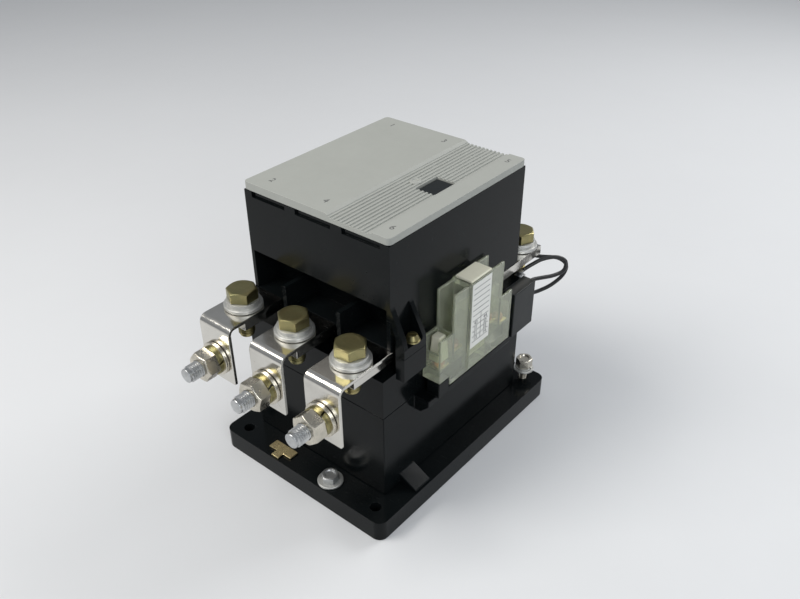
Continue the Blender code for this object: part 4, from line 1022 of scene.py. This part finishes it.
class CONTACTOR_OT_small_parts(bpy.types.Operator):
    """Model the screws, coil terminals and core clip"""
    bl_idname = "contactor.small_parts"
    bl_label = "Screws and clip"

    def execute(self, context):
        edge = sizes().sheet_edge
        pan_screw("chamber_screw")
        for name in ("base_screw_near", "base_screw_far"):
            hex_screw(name, LOOKS["zinc"], BASE_SCREW_HEAD, BASE_SCREW_WASHER, 1)
        hex_screw("mounting_screw", LOOKS["nut"], MOUNT_SCREW_HEAD, MOUNT_SCREW_WASHERS, 2)
        for number in (1, 2):
            dress("coil_terminal_%d" % number, LOOKS["zinc"], 0.6 * edge)
        dress("core_clip", LOOKS["brass"], 0.5 * edge)
        return {"FINISHED"}


EYE = Vector((0.2830, -0.3316, 0.3812))
AIM = Vector((0.0, 0.0, 0.080))
FOCAL_PIXELS = 826.96
IMAGE_WIDTH = 800.0
SENSOR = 36.0
SHIFT = (0.0125, 0.0275)
ROLL = math.radians(-0.81)
NEAR_CLIP = 0.01
FLOOR_SIZE = 6.0
FLOOR_Z = -0.2 * MM
SKY = (0.80, 0.84, 0.90, 1.0)
SKY_STRENGTH = 0.34


def area_light(name, place, target, size, power, tint):
    """A soft square light aimed at a point."""
    light = bpy.data.lights.new(name, "AREA")
    light.shape = "SQUARE"
    light.size = size
    light.energy = power
    light.color = tint
    item = bpy.data.objects.new(name, light)
    item.location = place
    item.rotation_euler = (Vector(target) - Vector(place)).to_track_quat("-Z", "Y").to_euler()
    bpy.context.scene.collection.objects.link(item)


class CONTACTOR_OT_stage(bpy.types.Operator):
    """Set the camera, the pale floor and the soft lights"""
    bl_idname = "contactor.stage"
    bl_label = "Stage"

    def execute(self, context):
        self.place_camera(context.scene)
        self.lay_floor()
        self.light_stage(context.scene)
        context.scene.view_settings.view_transform = "Standard"
        return {"FINISHED"}

    def place_camera(self, scene):
        """The camera that was fitted to the photograph."""
        camera = bpy.data.cameras.new("photo_view")
        camera.sensor_width = SENSOR
        camera.lens = SENSOR * FOCAL_PIXELS / IMAGE_WIDTH
        camera.shift_x, camera.shift_y = SHIFT
        camera.clip_start = NEAR_CLIP
        item = bpy.data.objects.new("photo_view", camera)
        aim = (AIM - EYE).to_track_quat("-Z", "Y").to_matrix().to_4x4()
        item.matrix_world = Matrix.Translation(EYE) @ aim @ Matrix.Rotation(ROLL, 4, "Z")
        scene.collection.objects.link(item)
        scene.camera = item

    def lay_floor(self):
        """A plain floor just under the base."""
        clear_selection()
        bpy.ops.mesh.primitive_plane_add(size=FLOOR_SIZE, location=(0, 0, FLOOR_Z))
        floor = bake(bpy.context.active_object)
        select_faces(floor, lambda face: True)
        bpy.ops.mesh.subdivide(number_cuts=3)
        leave_edit()
        floor.name = "floor"
        floor.data.materials.append(LOOKS["floor"])

    def light_stage(self, scene):
        """A pale surround, a warm key light, a cool fill and a back light."""
        world = bpy.data.worlds.new("studio")
        scene.world = world
        world.use_nodes = True
        back = world.node_tree.nodes["Background"]
        back.inputs["Color"].default_value = SKY
        back.inputs["Strength"].default_value = SKY_STRENGTH
        area_light("key_light", (-0.55, -0.75, 1.25), (0, 0, 0.08), 0.7, 16.0, (1.0, 0.97, 0.93))
        area_light("fill_light", (0.95, -0.55, 0.75), (0, 0, 0.08), 0.6, 5.0, (0.92, 0.96, 1.0))
        area_light("back_light", (0.3, 1.0, 0.9), (0, 0, 0.10), 0.6, 7.0, (1.0, 1.0, 1.0))


class CONTACTOR_PT_panel(bpy.types.Panel):
    """Sidebar list of the steps"""
    bl_idname = "CONTACTOR_PT_panel"
    bl_label = "Contactor"
    bl_space_type = "VIEW_3D"
    bl_region_type = "UI"
    bl_category = "Contactor"

    def draw(self, context):
        for step in STEPS:
            self.layout.operator(step.bl_idname)


STEPS = (CONTACTOR_OT_stage, CONTACTOR_OT_suppressor, CONTACTOR_OT_mouldings, CONTACTOR_OT_cover,
         CONTACTOR_OT_magnet, CONTACTOR_OT_poles, CONTACTOR_OT_bolts, CONTACTOR_OT_links,
         CONTACTOR_OT_auxiliary, CONTACTOR_OT_small_parts)
CLASSES = (ContactorSizes, ContactorColours, *STEPS, CONTACTOR_PT_panel)


def register():
    """Register the classes and their settings."""
    for item in CLASSES:
        bpy.utils.register_class(item)
    bpy.types.Scene.contactor_sizes = bpy.props.PointerProperty(type=ContactorSizes)
    bpy.types.Scene.contactor_colours = bpy.props.PointerProperty(type=ContactorColours)


def unregister():
    """Remove the settings and the classes."""
    del bpy.types.Scene.contactor_colours
    del bpy.types.Scene.contactor_sizes
    for item in reversed(CLASSES):
        bpy.utils.unregister_class(item)


def main():
    """Run every step."""
    register()
    make_looks()
    bpy.ops.contactor.stage()
    bpy.ops.contactor.suppressor()
    bpy.ops.contactor.mouldings()
    bpy.ops.contactor.cover()
    bpy.ops.contactor.magnet()
    bpy.ops.contactor.poles()
    bpy.ops.contactor.bolts()
    bpy.ops.contactor.links()
    bpy.ops.contactor.auxiliary()
    bpy.ops.contactor.small_parts()
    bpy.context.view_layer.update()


if __name__ == "__main__":
    main()
